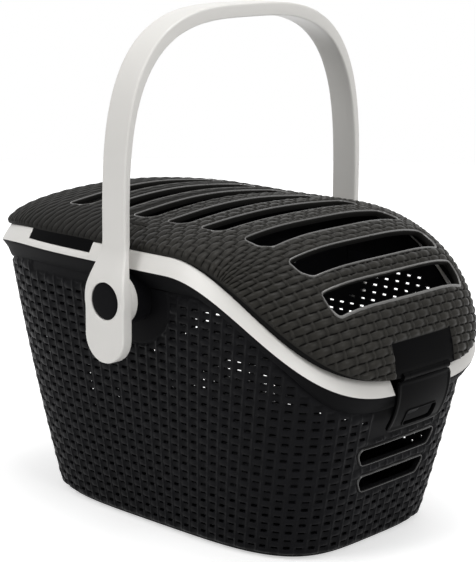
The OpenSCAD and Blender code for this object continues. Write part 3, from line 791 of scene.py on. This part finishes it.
def lid_height(x, y, skin=0.0):
    """Height of the lid over a place, which runs on steeply downward outside its edge."""
    a, b = LID_L - skin, LID_W - skin
    r = (np.abs((x - LID_SHIFT) / a) ** RIM_SQUARE
         + np.abs(y / b) ** RIM_SQUARE) ** (1 / RIM_SQUARE)
    low = seam_z((x - LID_SHIFT) / np.maximum(r, 1e-6) * (RIM_LENGTH / 2) / a) + LID_SEAT
    camber = CAMBER * np.maximum(0, 1 - (y / 108) ** 2) ** 2 * (1 - eased((x - 9) / 101.5))
    crown = CROWN + CROWN_RISE * (x / 252) ** 2 + camber
    dome = np.maximum(0, 1 - np.minimum(r, 1) ** 4) ** (1 / 1.6)
    return low + (crown - skin - low) * dome - 300 * np.maximum(0, r - 1), r

def lid_surface(x, y):
    """Point and upward direction of the lid over a place."""
    x, y = np.asarray(x, float), np.asarray(y, float)
    z = lid_height(x, y)[0]
    e = 0.4
    gx = (lid_height(x + e, y)[0] - lid_height(x - e, y)[0]) / (2 * e)
    gy = (lid_height(x, y + e)[0] - lid_height(x, y - e)[0]) / (2 * e)
    normal = np.stack([-gx, -gy, np.ones_like(gx)], -1)
    return np.stack([x, y, z], -1), normal / np.linalg.norm(normal, axis=-1)[..., None]

print("crown:", round(float(lid_height(0.0, 0.0)[0]), 1), "mm")

# %% Leaning rows along the lid
ROW_PITCH, COLUMN_PITCH = 8.5, 10.3
LID_ROW_LINES = np.array([0.0, 0.1, 0.28, 0.5, 0.72, 0.9])
LID_COLUMN_LINES = np.array([0.0, 0.1, 0.18, 0.34, 0.5, 0.66, 0.82, 0.9])

def lean_back(x):
    """How far a row runs back for each millimetre that it comes down."""
    return (1.65 * eased((x - 110) / 95) + 0.35 * eased((x - 205) / 45)
            - 1.3 * eased((-x - 150) / 90))

def lid_rows():
    """Where the rows cross the middle of the lid: their counters, places and heights."""
    angle = np.linspace(-math.pi / 2, math.pi / 2, 2001)
    cx = LID_SHIFT + LID_L * np.sin(angle)
    cz = lid_height(cx, 0 * cx)[0]
    run = np.concatenate([[0], np.cumsum(np.hypot(np.diff(cx), np.diff(cz)))])
    middle = np.interp(LID_SHIFT, cx, run)
    behind, ahead = int(middle / ROW_PITCH) + 1, int((run[-1] - middle) / ROW_PITCH) + 1
    v = (np.arange(-behind, ahead)[:, None] + LID_ROW_LINES).ravel()
    s = middle + v * ROW_PITCH
    inside = (s > 0.05) & (s < run[-1] - 0.05)
    v, s = v[inside], s[inside]
    v = np.concatenate([[v[0] - s[0] / ROW_PITCH + 0.004], v,
                        [v[-1] + (run[-1] - s[-1]) / ROW_PITCH - 0.004]])
    s = middle + v * ROW_PITCH
    return v, np.interp(s, run, cx), np.interp(s, run, cz)

def row_section(xc, zc, y):
    """Where the leaning plane of each row meets the lid, at the given widths."""
    xc, zc, lean = xc[:, None], zc[:, None], lean_back(xc)[:, None]
    low, high = np.full(y.shape, 60.0), np.repeat(zc + 8, y.shape[1], 1)
    for _ in range(40):
        mid = (low + high) / 2
        above = lid_height(xc - lean * (zc - mid), y)[0] > mid
        low, high = np.where(above, mid, low), np.where(above, high, mid)
    z = (low + high) / 2
    return xc - lean * (zc - z), z

# %% The lid's grid
def lid_grid():
    """Points of the lid on its rows, their distance from its edge, and both counters."""
    v, xc, zc = lid_rows()
    near, far = np.zeros((len(v), 1)), np.full((len(v), 1), LID_W)
    for _ in range(36):
        mid = (near + far) / 2
        within = lid_height(row_section(xc, zc, mid)[0], mid)[1] < 1
        near, far = np.where(within, mid, near), np.where(within, far, mid)
    y = near * np.sin(np.linspace(0, math.pi / 2, 161)[None, :])
    x, z = row_section(xc, zc, y)
    steps = np.sqrt(np.diff(x, axis=1) ** 2 + np.diff(y, axis=1) ** 2 + np.diff(z, axis=1) ** 2)
    length = np.concatenate([np.zeros((len(v), 1)), np.cumsum(steps, 1)], 1)
    half = int(length[:, -1].max() / COLUMN_PITCH) + 1
    u = (np.arange(0, half)[:, None] + LID_COLUMN_LINES).ravel()
    X, Y, G = (np.zeros((len(v), len(u))) for _ in range(3))
    for k in range(len(v)):
        at = np.minimum(u * COLUMN_PITCH, length[k, -1])
        X[k], Y[k] = np.interp(at, length[k], x[k]), np.interp(at, length[k], y[k])
        G[k] = length[k, -1] - u * COLUMN_PITCH
    mirror = lambda values, sign: np.concatenate([sign * values[..., :0:-1], values], -1)
    return mirror(X, 1), mirror(Y, -1), mirror(G, 1), mirror(u, -1), v

lid_X, lid_Y, lid_gap, lid_u, lid_v = lid_grid()
print("lid grid:", lid_X.shape)

# %% [markdown]
# ## The two parts of the lid
# A fine split runs across the top, forward inside the sides and down to the
# rim. Both parts come from the same grid, cut along that line. Eight slots go
# across; the last ones bow forward as the rows do. The patch that the clasp
# lies against is plain and slightly sunk.

# %% Outlines of the slots and the split
SLOT_HALF, SPLIT_GAP, SPLIT_BACK, SPLIT_W, AWAY = 108.0, 0.85, -44, 126.0, 400.0

def flat_slot(x):
    w, h, s = 26.0, SLOT_HALF, 7.8
    corners = [(x, -h + s * 0.5), (x + s * 0.5, -h), (x + w - s, -h), (x + w, -h + s),
               (x + w, h - s), (x + w - s, h), (x + s * 0.5, h), (x, h - s * 0.5)]
    return rounded(corners, 4)

def bowed(x, y):
    bow = 10 * eased((x - 110.5) / 92.5)
    return x + bow * (1 - np.minimum(1, np.abs(y) / SLOT_HALF) ** 3)

def sloping_slot(x, w, h):
    s = w * 0.3
    ys = np.linspace(-1, 1, 13)
    front = [(bowed(x + w, y), y) for y in ys * (h - s)]
    rear = [(bowed(x, y), y) for y in ys[::-1] * (h - s * 0.5)]
    corners = (front + [(x + w - s, h), (x + s * 0.5, h)] + rear
               + [(x + s * 0.5, -h), (x + w - s, -h)])
    return rounded(corners, 4)

slots = ([spaced(flat_slot(-135 + 48 * i), 1.6) for i in range(4)]
         + [spaced(sloping_slot(x, w, 109 - 3 * i), 1.6)
            for i, (x, w) in enumerate([(56.5, 26.5), (110.5, 31), (164.5, 24), (203, 17.5)])])

def half_split(g, side, reach):
    """Half of the split, from the middle of the lid outward, moved forward by g."""
    corner = side * (SPLIT_W - g)
    return [(SPLIT_BACK + g, 0), (SPLIT_BACK + g, corner), (g, corner), (g, side * reach)]

def lid_region(g, away):
    """What one part of the lid covers, seen from above."""
    left, right = half_split(g, -1, AWAY), half_split(g, 1, AWAY)
    return np.array(left[:0:-1] + right[1:] + [(away, AWAY), (away, -AWAY)])

def clasp_patch(x, y, z):
    """Distance outside the plain patch that the clasp lies against."""
    return np.where(x > FRONT_X, np.maximum(np.abs(y) - 46.5, z - 221), 99.0)

print("slots:", len(slots))

# %% Cut a lid part from the grid
def off_the_edge(gap):
    """Faces whose four points all lie past the lid's edge."""
    over = gap < 0
    return over[:-1, :-1] & over[1:, :-1] & over[1:, 1:] & over[:-1, 1:]

def cut_lid(X, Y, gap, region, reach):
    """Points and directions of a lid part, with its cut edges moved onto their outlines."""
    P, N = lid_surface(X, Y)
    field, near_x, near_y = cut_field(X, Y, slots, region)
    keep = (face_mean(field) < 0) & ~off_the_edge(gap)
    edge = edge_points(keep) & (np.abs(field) < reach) & (gap >= 0)
    on_edge, direction = lid_surface(near_x[edge], near_y[edge])
    return P, N, field, keep, edge, on_edge, direction

def build_lid(region, own_slots):
    shell = Shell()
    P, N, field, keep, edge, on_edge, _ = cut_lid(lid_X, lid_Y, lid_gap, region, 9)
    patch = clasp_patch(P[..., 0], P[..., 1], P[..., 2])
    share = np.clip(np.minimum.reduce([(-field - 0.8) / 1.8, (lid_gap - 1.8) / 2.0, patch / 1.5]),
                    0, 1)
    U, V = np.meshgrid(lid_u, lid_v)
    front = eased((P[..., 0] + 70) / 110)
    H = woven(U, V, 1.9 + 0.2 * front, 0.28 + 0.52 * front, 1.3 + 1.2 * front, 0.18, False)
    # painted shade: plain places take 0.6, the relief's tone follows its height, and the rear of
    # the lid is painted up to half as dark
    tones = (0.6 * (1 - share) + share * np.clip(H / 2.3, 0, 1)) * (0.5 + 0.5 * front)
    H = H * share - 0.9 * np.clip(-patch / 1.5, 0, 1)
    P[edge], H[edge] = on_edge, 0
    P = P + N * H[..., None]
    P[..., 0] = np.clip(P[..., 0], -251.9, 256.9)
    shell.grid(P, keep=keep, flip=True, tones=tones)
    # the plain inner skin, on every third row and fourth column
    pick = np.ix_(np.unique([0, *range(1, len(lid_v) - 1, 3), len(lid_v) - 1]),
                  np.arange(0, len(lid_u), 4))
    Q, M, _, keep, edge, on_edge, direction = cut_lid(lid_X[pick], lid_Y[pick], lid_gap[pick],
                                                      region, 14)
    Q[edge], M[edge] = on_edge, direction
    shell.grid(Q - M * LID_WALL, keep=keep)
    for k in own_slots:
        border(shell, slots[k], lid_surface, 1.9, 1.5, 5.0)
    return shell

front_lid_shell = build_lid(lid_region(SPLIT_GAP, AWAY), range(2, 8))
rear_lid_shell = build_lid(lid_region(-SPLIT_GAP, -AWAY), range(0, 2))
print("faces:", len(front_lid_shell.faces), len(rear_lid_shell.faces))

# %% [markdown]
# The lid's lower edge rests on the band. Its face turns under, then a lip hangs
# down inside the band's top edge. On the slope the lip follows the nearest
# place of the band, so that no light shows between lid and band.

# %% The lower edge
# Tones of painted shade down the lid's edge: half on its face, darker where it turns under, and
# fully dark on the lip in the gap inside the band.
EDGE_SHADE_TONES = [0.5] * 5 + [0.3] * 2 + [0.0] * 4

def edge_turns(front, side):
    """Turns along one side of the lid's edge, up to the split."""
    t, _ = even_turns(700, lambda v: rim_point(v, 9.0, 16.0))
    t = np.mod(t, 2 * math.pi)
    t = t[(t < math.pi)] * side
    t = t[np.argsort(t * side)]
    x = oval(LID_L, LID_W, RIM_SQUARE, t)[0] + LID_SHIFT
    x_end = SPLIT_GAP if front else -SPLIT_GAP
    share = abs(x_end - LID_SHIFT) / LID_L
    end = side * math.acos(np.sign(x_end - LID_SHIFT) * share ** (RIM_SQUARE / 2))
    return np.append(t[x > x_end], end) if front else np.insert(t[x < x_end], 0, end)

def lid_edge(shell, front):
    for side in (-1, 1):
        t = edge_turns(front, side)
        lines = []
        for share in (0.955, 0.97, 0.982, 0.991, 0.997):
            px, py = oval(LID_L * share, LID_W * share, RIM_SQUARE, t)
            point, normal = lid_surface(LID_SHIFT + px, py)
            lines.append(point - normal * 0.35)
        for skin, rise in ((0.0, 0.4), (0.15, 0.0), (0.9, 0.0), (0.95, None),
                           (LID_WALL - 0.1, None), (LID_WALL, 3.0)):
            px, y = oval(LID_L - skin, LID_W - skin, RIM_SQUARE, t)
            x = LID_SHIFT + px
            z = seam_z(seam_x(t)) + LID_SEAT + (rise or 0.0)
            if rise is None:
                z = np.minimum(z, level_with_band(x, y, 0.4))
            lines.append(np.stack([x, y, z], -1))
        shell.loft(lines, closed=False, flip=side < 0, tones=EDGE_SHADE_TONES)

lid_edge(front_lid_shell, True)
lid_edge(rear_lid_shell, False)
print("lines down the edge:", len(EDGE_SHADE_TONES))

# %% [markdown]
# The split's own walls close the two parts against each other. The rear part
# also has plain tabs that come down into the band's notches, a skirt inside
# the rim, and both parts have the lugs of the hidden hinge.

# %% Split walls, tabs and skirt
SKIRT_END = -233.5  # no further, or the skirt's inner face would pass its own oval

def split_wall(shell, line):
    """A thin wall from the lid's surface to its inner skin along a line seen from above."""
    line = np.asarray(line, float)
    run = np.concatenate([[0], np.cumsum(np.linalg.norm(np.diff(line, axis=0), axis=1))])
    places = np.linspace(0, run[-1], int(run[-1] / 2) + 2)
    P, N = lid_surface(np.interp(places, run, line[:, 0]), np.interp(places, run, line[:, 1]))
    shell.loft([P, P - N * LID_WALL], closed=False)

def tab_strip(shell, side):
    """The plain tab in the band's notch."""
    lean = BAND_LEAN / BAND_HEIGHT
    low, high = BAND_HEIGHT - NOTCH_HEIGHT + 0.3, LID_SEAT + 1.2
    section = np.array([(lean * low, low), (lean * high - 0.3, high), (lean * high + 3.0, high),
                        (lean * low + 3.0, low), (lean * low, low)])
    lines = [band_line(section, x=x, side=side)
             for x in np.linspace(NOTCH_REAR + 0.4, NOTCH_FRONT - 0.4, 40)]
    shell.grid(np.stack(lines), flip=side > 0)
    shell.cap(lines[0][:4], flip=side < 0)
    shell.cap(lines[-1][:4], flip=side > 0)

def rear_skirt(shell, side):
    """The skirt inside the basket's rib, from its lower edge up to the lid."""
    lines = []
    for inset, up in ((15.9, False), (15.9, True), (18.1, True), (18.1, False)):
        points = np.concatenate([band_line(np.array([[inset, LID_SEAT]]), x=x, side=side)
                                 for x in np.linspace(-8.0, SKIRT_END, 90)])
        x, y, z = points.T
        points[:, 2] = np.maximum(lid_height(x, y)[0] - 2.4, z) if up else z - 13
        lines.append(points)
    shell.loft(lines + [lines[0]], closed=False, flip=side > 0)

for side in (-1, 1):
    split_wall(front_lid_shell, half_split(SPLIT_GAP, side, 158.5))
    split_wall(rear_lid_shell, half_split(-SPLIT_GAP, side, 158.5))
    tab_strip(rear_lid_shell, side)
    rear_skirt(rear_lid_shell, side)

# %% Lugs and the finished lid
HINGE_X, HINGE_Z, HINGE_LUG, CLASP_X, CLASP_LUG = -10.5, 303.5, 4.5, 253.0, 4.0

for side in (-1, 1):
    rod(rear_lid_shell, HINGE_X, side * 127.2, side * 133.6, HINGE_Z, HINGE_LUG, 24)
    rod(front_lid_shell, HINGE_X, side * 124.8, side * 118.4, HINGE_Z, HINGE_LUG, 24)
    rod(front_lid_shell, CLASP_X, side * 27.4, side * 36.4, CLASP_Z, CLASP_LUG, 24)

def on_patch(x, y, z):
    return clasp_patch(x, y, z) < 0.4

def on_tabs(x, y, z):
    return (np.abs(y) > 100) & (z < seam_z(x) + LID_SEAT)

front_lid = make_piece("woven_front_lid", front_lid_shell, lid_plastic, "front_lid_body",
                       "front_lid", sharp=50, lips=slot_lip_highlight_plastic,
                       accent=(smooth_dark_plastic, on_patch))
rear_lid = make_piece("woven_rear_lid", rear_lid_shell, lid_plastic, "basket_body",
                      "rear_lid", sharp=50, lips=slot_lip_highlight_plastic,
                      accent=(smooth_dark_plastic, on_tabs))

# %% [markdown]
# ## The carry handle
# The handle is one flat strip: round eyes with tails at the pivots, slim legs
# and a thicker grip. It is swept as a rounded rectangle whose thickness lies
# between two curves in the front view and whose width comes from the side
# view. The seats of the caps are cut out of the eyes afterwards, and here a
# Boolean is the right tool, because the strip is smooth and closed.

# %% Curves of the handle
EYE_Y, PIVOT_Z, HANDLE_TOP, HANDLE_WIDTH = 192.5, 246.5, 526.0, 32.6
LEG_Y, ARCH_Z, ARCH_SQUARE, STRIP = 179.2, 302.5, 3.22, 8
EYE_RADIUS, TAIL_RADIUS, TAIL_MIDDLE = 28, 27, PIVOT_Z - 35

def handle_half_width(z):
    """Half of the leg's width in the side view: a round tail, the eye and a narrowing neck."""
    tail = np.sqrt(np.maximum(TAIL_RADIUS ** 2 - (z - TAIL_MIDDLE) ** 2, 0))
    eye = np.sqrt(np.maximum(EYE_RADIUS ** 2 - (z - PIVOT_Z) ** 2, 0))
    neck = EYE_RADIUS - (EYE_RADIUS - 16.3) * eased((z - PIVOT_Z) / 60)
    upper = np.maximum(eye, np.where(z > PIVOT_Z, neck, np.where(z < PIVOT_Z, TAIL_RADIUS, 0)))
    return np.where(z < TAIL_MIDDLE, tail, np.where(z < TAIL_MIDDLE + 0.1, TAIL_RADIUS, upper))

def arch(w, top):
    t = np.linspace(0, math.pi / 2, 400)
    return np.stack([w * np.cos(t) ** (2 / ARCH_SQUARE),
                     ARCH_Z + (top - ARCH_Z) * np.sin(t) ** (2 / ARCH_SQUARE)], -1)

def handle_curves():
    """Outer and inner curve of one half in the front view, and the width on the way."""
    start = TAIL_MIDDLE - TAIL_RADIUS
    z = np.concatenate([start + TAIL_RADIUS * (1 - np.cos(np.linspace(0, math.pi / 2, 16))),
                        np.linspace(TAIL_MIDDLE, PIVOT_Z + 8, 14)[1:],
                        np.linspace(PIVOT_Z + 8, ARCH_Z, 14)[1:]])
    drawn_in = (EYE_Y - LEG_Y) * eased((z - PIVOT_Z - 8) / (ARCH_Z - PIVOT_Z - 8))
    outer = np.stack([EYE_Y - drawn_in, z], -1)
    inner = np.stack([np.interp(z, [PIVOT_Z + 22, ARCH_Z], [EYE_Y - 13, LEG_Y - STRIP]), z], -1)
    far, close = arch(LEG_Y, HANDLE_TOP), arch(LEG_Y - STRIP, HANDLE_TOP - 14)
    run = np.concatenate([[0], np.cumsum(np.linalg.norm(np.diff(far, axis=0), axis=1))])
    places = np.linspace(0, run[-1], 90)[1:]
    pick = lambda c: np.stack([np.interp(places, run, c[:, 0]),
                               np.interp(places, run, c[:, 1])], -1)
    half = np.concatenate([handle_half_width(z), np.full(len(places), HANDLE_WIDTH / 2)])
    return np.concatenate([outer, pick(far)]), np.concatenate([inner, pick(close)]), half

# %% Sweep the handle
def rounded_section(half_w, half_h, radius=2.1, crown=0.2):
    """A rounded rectangle with a slightly crowned outer face."""
    r = min(radius, half_w * 0.9, half_h * 0.9)
    points = []
    for cx, cy, start in ((half_w - r, half_h - r, 0), (-half_w + r, half_h - r, 90),
                          (-half_w + r, -half_h + r, 180), (half_w - r, -half_h + r, 270)):
        for k in range(6):
            angle = math.radians(start + 18 * k)
            points.append((cx + r * math.cos(angle), cy + r * math.sin(angle)))
        if start in (0, 180):
            flat = half_h if start == 0 else -half_h
            points += [(x, flat) for x in np.linspace(cx, -cx, 7)[1:-1]]
    points = np.array(points)
    bulge = crown * np.clip(1 - (points[:, 0] / half_w) ** 2, 0, 1)
    points[:, 1] += np.where(points[:, 1] > 0, bulge - crown, 0)
    return points

def build_handle():
    outer, inner, half = handle_curves()
    outer = np.concatenate([outer, outer[-2::-1] * [-1, 1]])
    inner = np.concatenate([inner, inner[-2::-1] * [-1, 1]])
    half = np.concatenate([half, half[-2::-1]])
    lines = []
    for o, i, h in zip(outer, inner, half):
        mid, across = (o + i) / 2, (o - i) / 2
        thick = np.linalg.norm(across)
        tip = min(1.0, h / 6.0)
        section = rounded_section(max(h, 0.6), thick * (0.75 + 0.25 * tip))
        unit = across / thick
        lines.append(np.stack([PIVOT[0] + section[:, 0], mid[0] + unit[0] * section[:, 1],
                               mid[1] + unit[1] * section[:, 1]], -1))
    shell = Shell()
    grid = np.stack(lines)
    shell.grid(np.concatenate([grid, grid[:, :1]], 1))
    shell.cap(lines[0], flip=True)
    shell.cap(lines[-1])
    return shell

def fix_normals(piece):
    """Welds the seam of a sweep and turns all faces outward."""
    work = bmesh.new()
    work.from_mesh(piece.data)
    bmesh.ops.remove_doubles(work, verts=work.verts, dist=1e-6)
    bmesh.ops.recalc_face_normals(work, faces=work.faces)
    work.to_mesh(piece.data)
    work.free()

handle = make_piece("pale_handle", build_handle(), pale_plastic, "handle_body", "handle")
fix_normals(handle)

# %% Cut the seats and add the hubs
SEAT = [(186.4, 18.7), (191.0, 18.7), (191.5, 19.1), (192.0, 20.2), (192.5, 22.0), (193.5, 22.4)]

def cut_seat(piece, side):
    """Cuts a cap's seat, a round recess with a flared edge, and keeps the result as the mesh."""
    shell = Shell()
    turned(shell, PIVOT[0], PIVOT[1], [(side * y, r) for y, r in SEAT])
    tool = add_object("seat", shell.to_mesh("seat"))
    fix_normals(tool)
    cut = piece.modifiers.new("seat", "BOOLEAN")
    cut.operation, cut.solver, cut.object = "DIFFERENCE", "EXACT", tool
    bpy.context.view_layer.update()
    shown = piece.evaluated_get(bpy.context.evaluated_depsgraph_get())
    piece.data = bpy.data.meshes.new_from_object(shown)
    piece.modifiers.clear()
    bpy.data.objects.remove(tool)

hubs = Shell()
for side in (-1, 1):
    cut_seat(handle, side)
    rod(hubs, PIVOT[0], side * 171.5, side * 180.5, PIVOT[1], 26, 64)
joined = bmesh.new()
joined.from_mesh(handle.data)
joined.from_mesh(hubs.to_mesh("hubs"))
joined.to_mesh(handle.data)
joined.free()
handle.data.shade_smooth()
handle.data.set_sharp_from_angle(angle=math.radians(32))
print("handle:", len(handle.data.polygons), "faces")

# %% [markdown]
# ## The round caps
# A round dark cap covers each pivot, a little below the face of the eye. Its
# face is very slightly domed and its edge is rounded, so it catches a thin
# line of light.

# %% The caps
CAP = [(186.6, 18.0), (189.6, 18.4), (190.3, 18.2), (190.75, 17.6), (190.95, 16.6),
       (191.0, 12.0), (191.05, 6.0)]

for label, side in (("left", 1), ("right", -1)):
    cap_shell = Shell()
    turned(cap_shell, PIVOT[0], PIVOT[1], [(side * y, r) for y, r in CAP])
    cap = make_piece("pivot_cap_face_" + label, cap_shell, cap_plastic, "basket_body",
                     "pivot_cap_" + label, sharp=40)
    fix_normals(cap)

# %% [markdown]
# ## The clasp
# The clasp is a smooth plate that swells forward and sweeps back to its lower
# edge, with round lower corners, a raised rim and a window through which the
# basket's catch shows. It is cut from a grid, as the lid is. The three hidden
# pins keep their measured solids and only take the plastic.

# %% The clasp's face and outlines
CLASP_THICK, PLATE_HALF, WINDOW_HALF, BARREL_HALF = 2.9, 41.5, 23, 27.0

def clasp_x(z):
    f = (CLASP_Z - z) / 57
    return CLASP_X - 13 * f + 24 * f * (1 - f)

def clasp_face(y, z):
    """Point and forward direction of the clasp at a width and a height."""
    y, z = np.asarray(y, float), np.asarray(z, float)
    point = np.stack([clasp_x(z) + 1.5 - 0.0012 * y * y, y, z], -1)
    slope = (clasp_x(z + 0.5) - clasp_x(z - 0.5))
    normal = np.stack([np.ones_like(y), 0.0024 * y, -slope], -1)
    return point, normal / np.linalg.norm(normal, axis=-1)[..., None]

def upright_box(half, low, high, radius, step):
    corners = [(-half, low), (half, low), (half, high), (-half, high)]
    return spaced(rounded(corners, radius), step)

window = upright_box(WINDOW_HALF, CLASP_LOW + 4.5, CLASP_LOW + 20.5, 4, 1.2)
plate = upright_box(PLATE_HALF, CLASP_LOW, CLASP_Z - 4.6, 5, 1.4)
print("plate:", len(plate), "points, window:", len(window))

# %% Build the clasp
def build_clasp():
    shell = Shell()
    y, z = np.meshgrid(np.linspace(-42, 42, 57), np.linspace(CLASP_LOW - 0.5, CLASP_Z - 4.0, 38),
                       indexing="ij")
    field, near_y, near_z = cut_field(y, z, [window], plate)
    keep = face_mean(field) < 0
    edge = edge_points(keep)
    y, z = np.where(edge, near_y, y), np.where(edge, near_z, z)
    P, N = clasp_face(y, z)
    inset = outline_distance(y, z, plate)[0]
    H = 0.7 * (1 - eased((-inset - 2.2) / 1.2)) - 0.5 * (1 - eased(-inset / 0.8))
    shell.grid(P + N * (H - 0.2)[..., None], keep=keep)
    shell.grid(P - N * CLASP_THICK, keep=keep, flip=True)
    P, N = clasp_face(plate[:, 0], plate[:, 1])
    shell.loft([P, P - N * CLASP_THICK])
    border(shell, window, clasp_face, 1.6, 0.9, 3.2, painted_highlight_lip=False)
    rod(shell, CLASP_X, -BARREL_HALF, BARREL_HALF, CLASP_Z, 4.0, 28)
    shell.grid(np.array([[(254.4, end, CLASP_Z), (254.6, end, CLASP_Z - 5),
                          (252.0, end, CLASP_Z - 5)] for end in (-BARREL_HALF, BARREL_HALF)]))
    return shell

clasp = make_piece("dark_clasp", build_clasp(), smooth_dark_plastic, "clasp_body",
                   "front_clasp", sharp=45)
for node in ("hinge_pin_left", "hinge_pin_right", "clasp_pin"):
    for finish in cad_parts[node].material_slots:
        finish.material = smooth_dark_plastic

# %% [markdown]
# ## Floor and light
# The picture has a white ground and soft light from a big window-like source
# above and to the left of the camera, with a weaker one on the right and one
# above. The floor is pale. To the camera and in reflections it also glows, less
# near the carrier than further out, so that it shows as white there and still
# keeps the carrier's shadow. The world is white in the same way, and gives the
# surfaces only a third of that light.

# %% Rays that see white
def seen_directly(tree):
    """1 for camera, glossy and transmission rays, 0 for all others."""
    rays = add_node(tree, "LightPath").outputs
    mirrored = add_node(tree, "Math", {0: rays["Is Glossy Ray"], 1: rays["Is Transmission Ray"]},
                        operation="MAXIMUM").outputs[0]
    return add_node(tree, "Math", {0: rays["Is Camera Ray"], 1: mirrored},
                    operation="MAXIMUM").outputs[0]

# %% The floor
FLOOR_RADIUS, FLOOR_DROP, FLOOR_SIDES = 2.4, 0.0006, 96

def build_floor():
    turn = np.arange(FLOOR_SIDES) * 2 * math.pi / FLOOR_SIDES
    mesh = bpy.data.meshes.new("floor")
    mesh.from_pydata([(FLOOR_RADIUS * math.cos(a), FLOOR_RADIUS * math.sin(a), 0) for a in turn],
                     [], [list(range(FLOOR_SIDES))])
    floor = add_object("floor", mesh)
    floor.location.z = -FLOOR_DROP
    material = bpy.data.materials.new("floor_paint")
    material.use_nodes = True
    tree = material.node_tree
    shader = tree.nodes["Principled BSDF"].inputs
    shader["Base Color"].default_value = (0.86, 0.86, 0.86, 1)
    shader["Roughness"].default_value = 0.9
    shader["Specular IOR Level"].default_value = 0.1
    shader["Emission Color"].default_value = (1, 1, 1, 1)
    distance = add_node(tree, "VectorMath", {0: add_node(tree, "TexCoord").outputs["Object"]},
                        operation="LENGTH").outputs["Value"]
    glow = add_node(tree, "MapRange", {"From Min": 0.32, "From Max": 0.8, "To Min": 0.5,
                                       "To Max": 0.75, "Value": distance}).outputs["Result"]
    shown = add_node(tree, "Math", {0: seen_directly(tree), 1: glow}, operation="MULTIPLY")
    tree.links.new(shown.outputs[0], shader["Emission Strength"])
    mesh.materials.append(material)

build_floor()
print("floor:", FLOOR_RADIUS, "m round")

# %% The world
world = bpy.data.worlds.new("studio")
bpy.context.scene.world = world
world.use_nodes = True
back = world.node_tree.nodes["Background"]
back.inputs["Color"].default_value = (1, 1, 1, 1)
strength = add_node(world.node_tree, "MapRange", {"To Min": 0.32, "To Max": 1.0,
                                                  "Value": seen_directly(world.node_tree)})
world.node_tree.links.new(strength.outputs["Result"], back.inputs["Strength"])
print("world:", world.name)

# %% The lamps
def lamp(name, position, target, size, watts):
    data = bpy.data.lights.new(name, "AREA")
    data.shape, data.size, data.energy = "SQUARE", size, watts
    light = add_object(name, data)
    light.location = position
    aim = Vector(target) - Vector(position)
    light.rotation_euler = aim.to_track_quat("-Z", "Y").to_euler()

lamp("window_light", (-0.6, -2.3, 2.4), (0, 0, 0.25), 1.3, 30)
lamp("fill_light", (2.6, -0.4, 1.7), (0.1, 0, 0.25), 1.4, 25)
lamp("top_light", (0.2, 0.3, 3.0), (0, 0, 0.2), 1.8, 39)
bpy.context.scene.view_settings.view_transform = "Standard"
print("view transform:", bpy.context.scene.view_settings.view_transform)
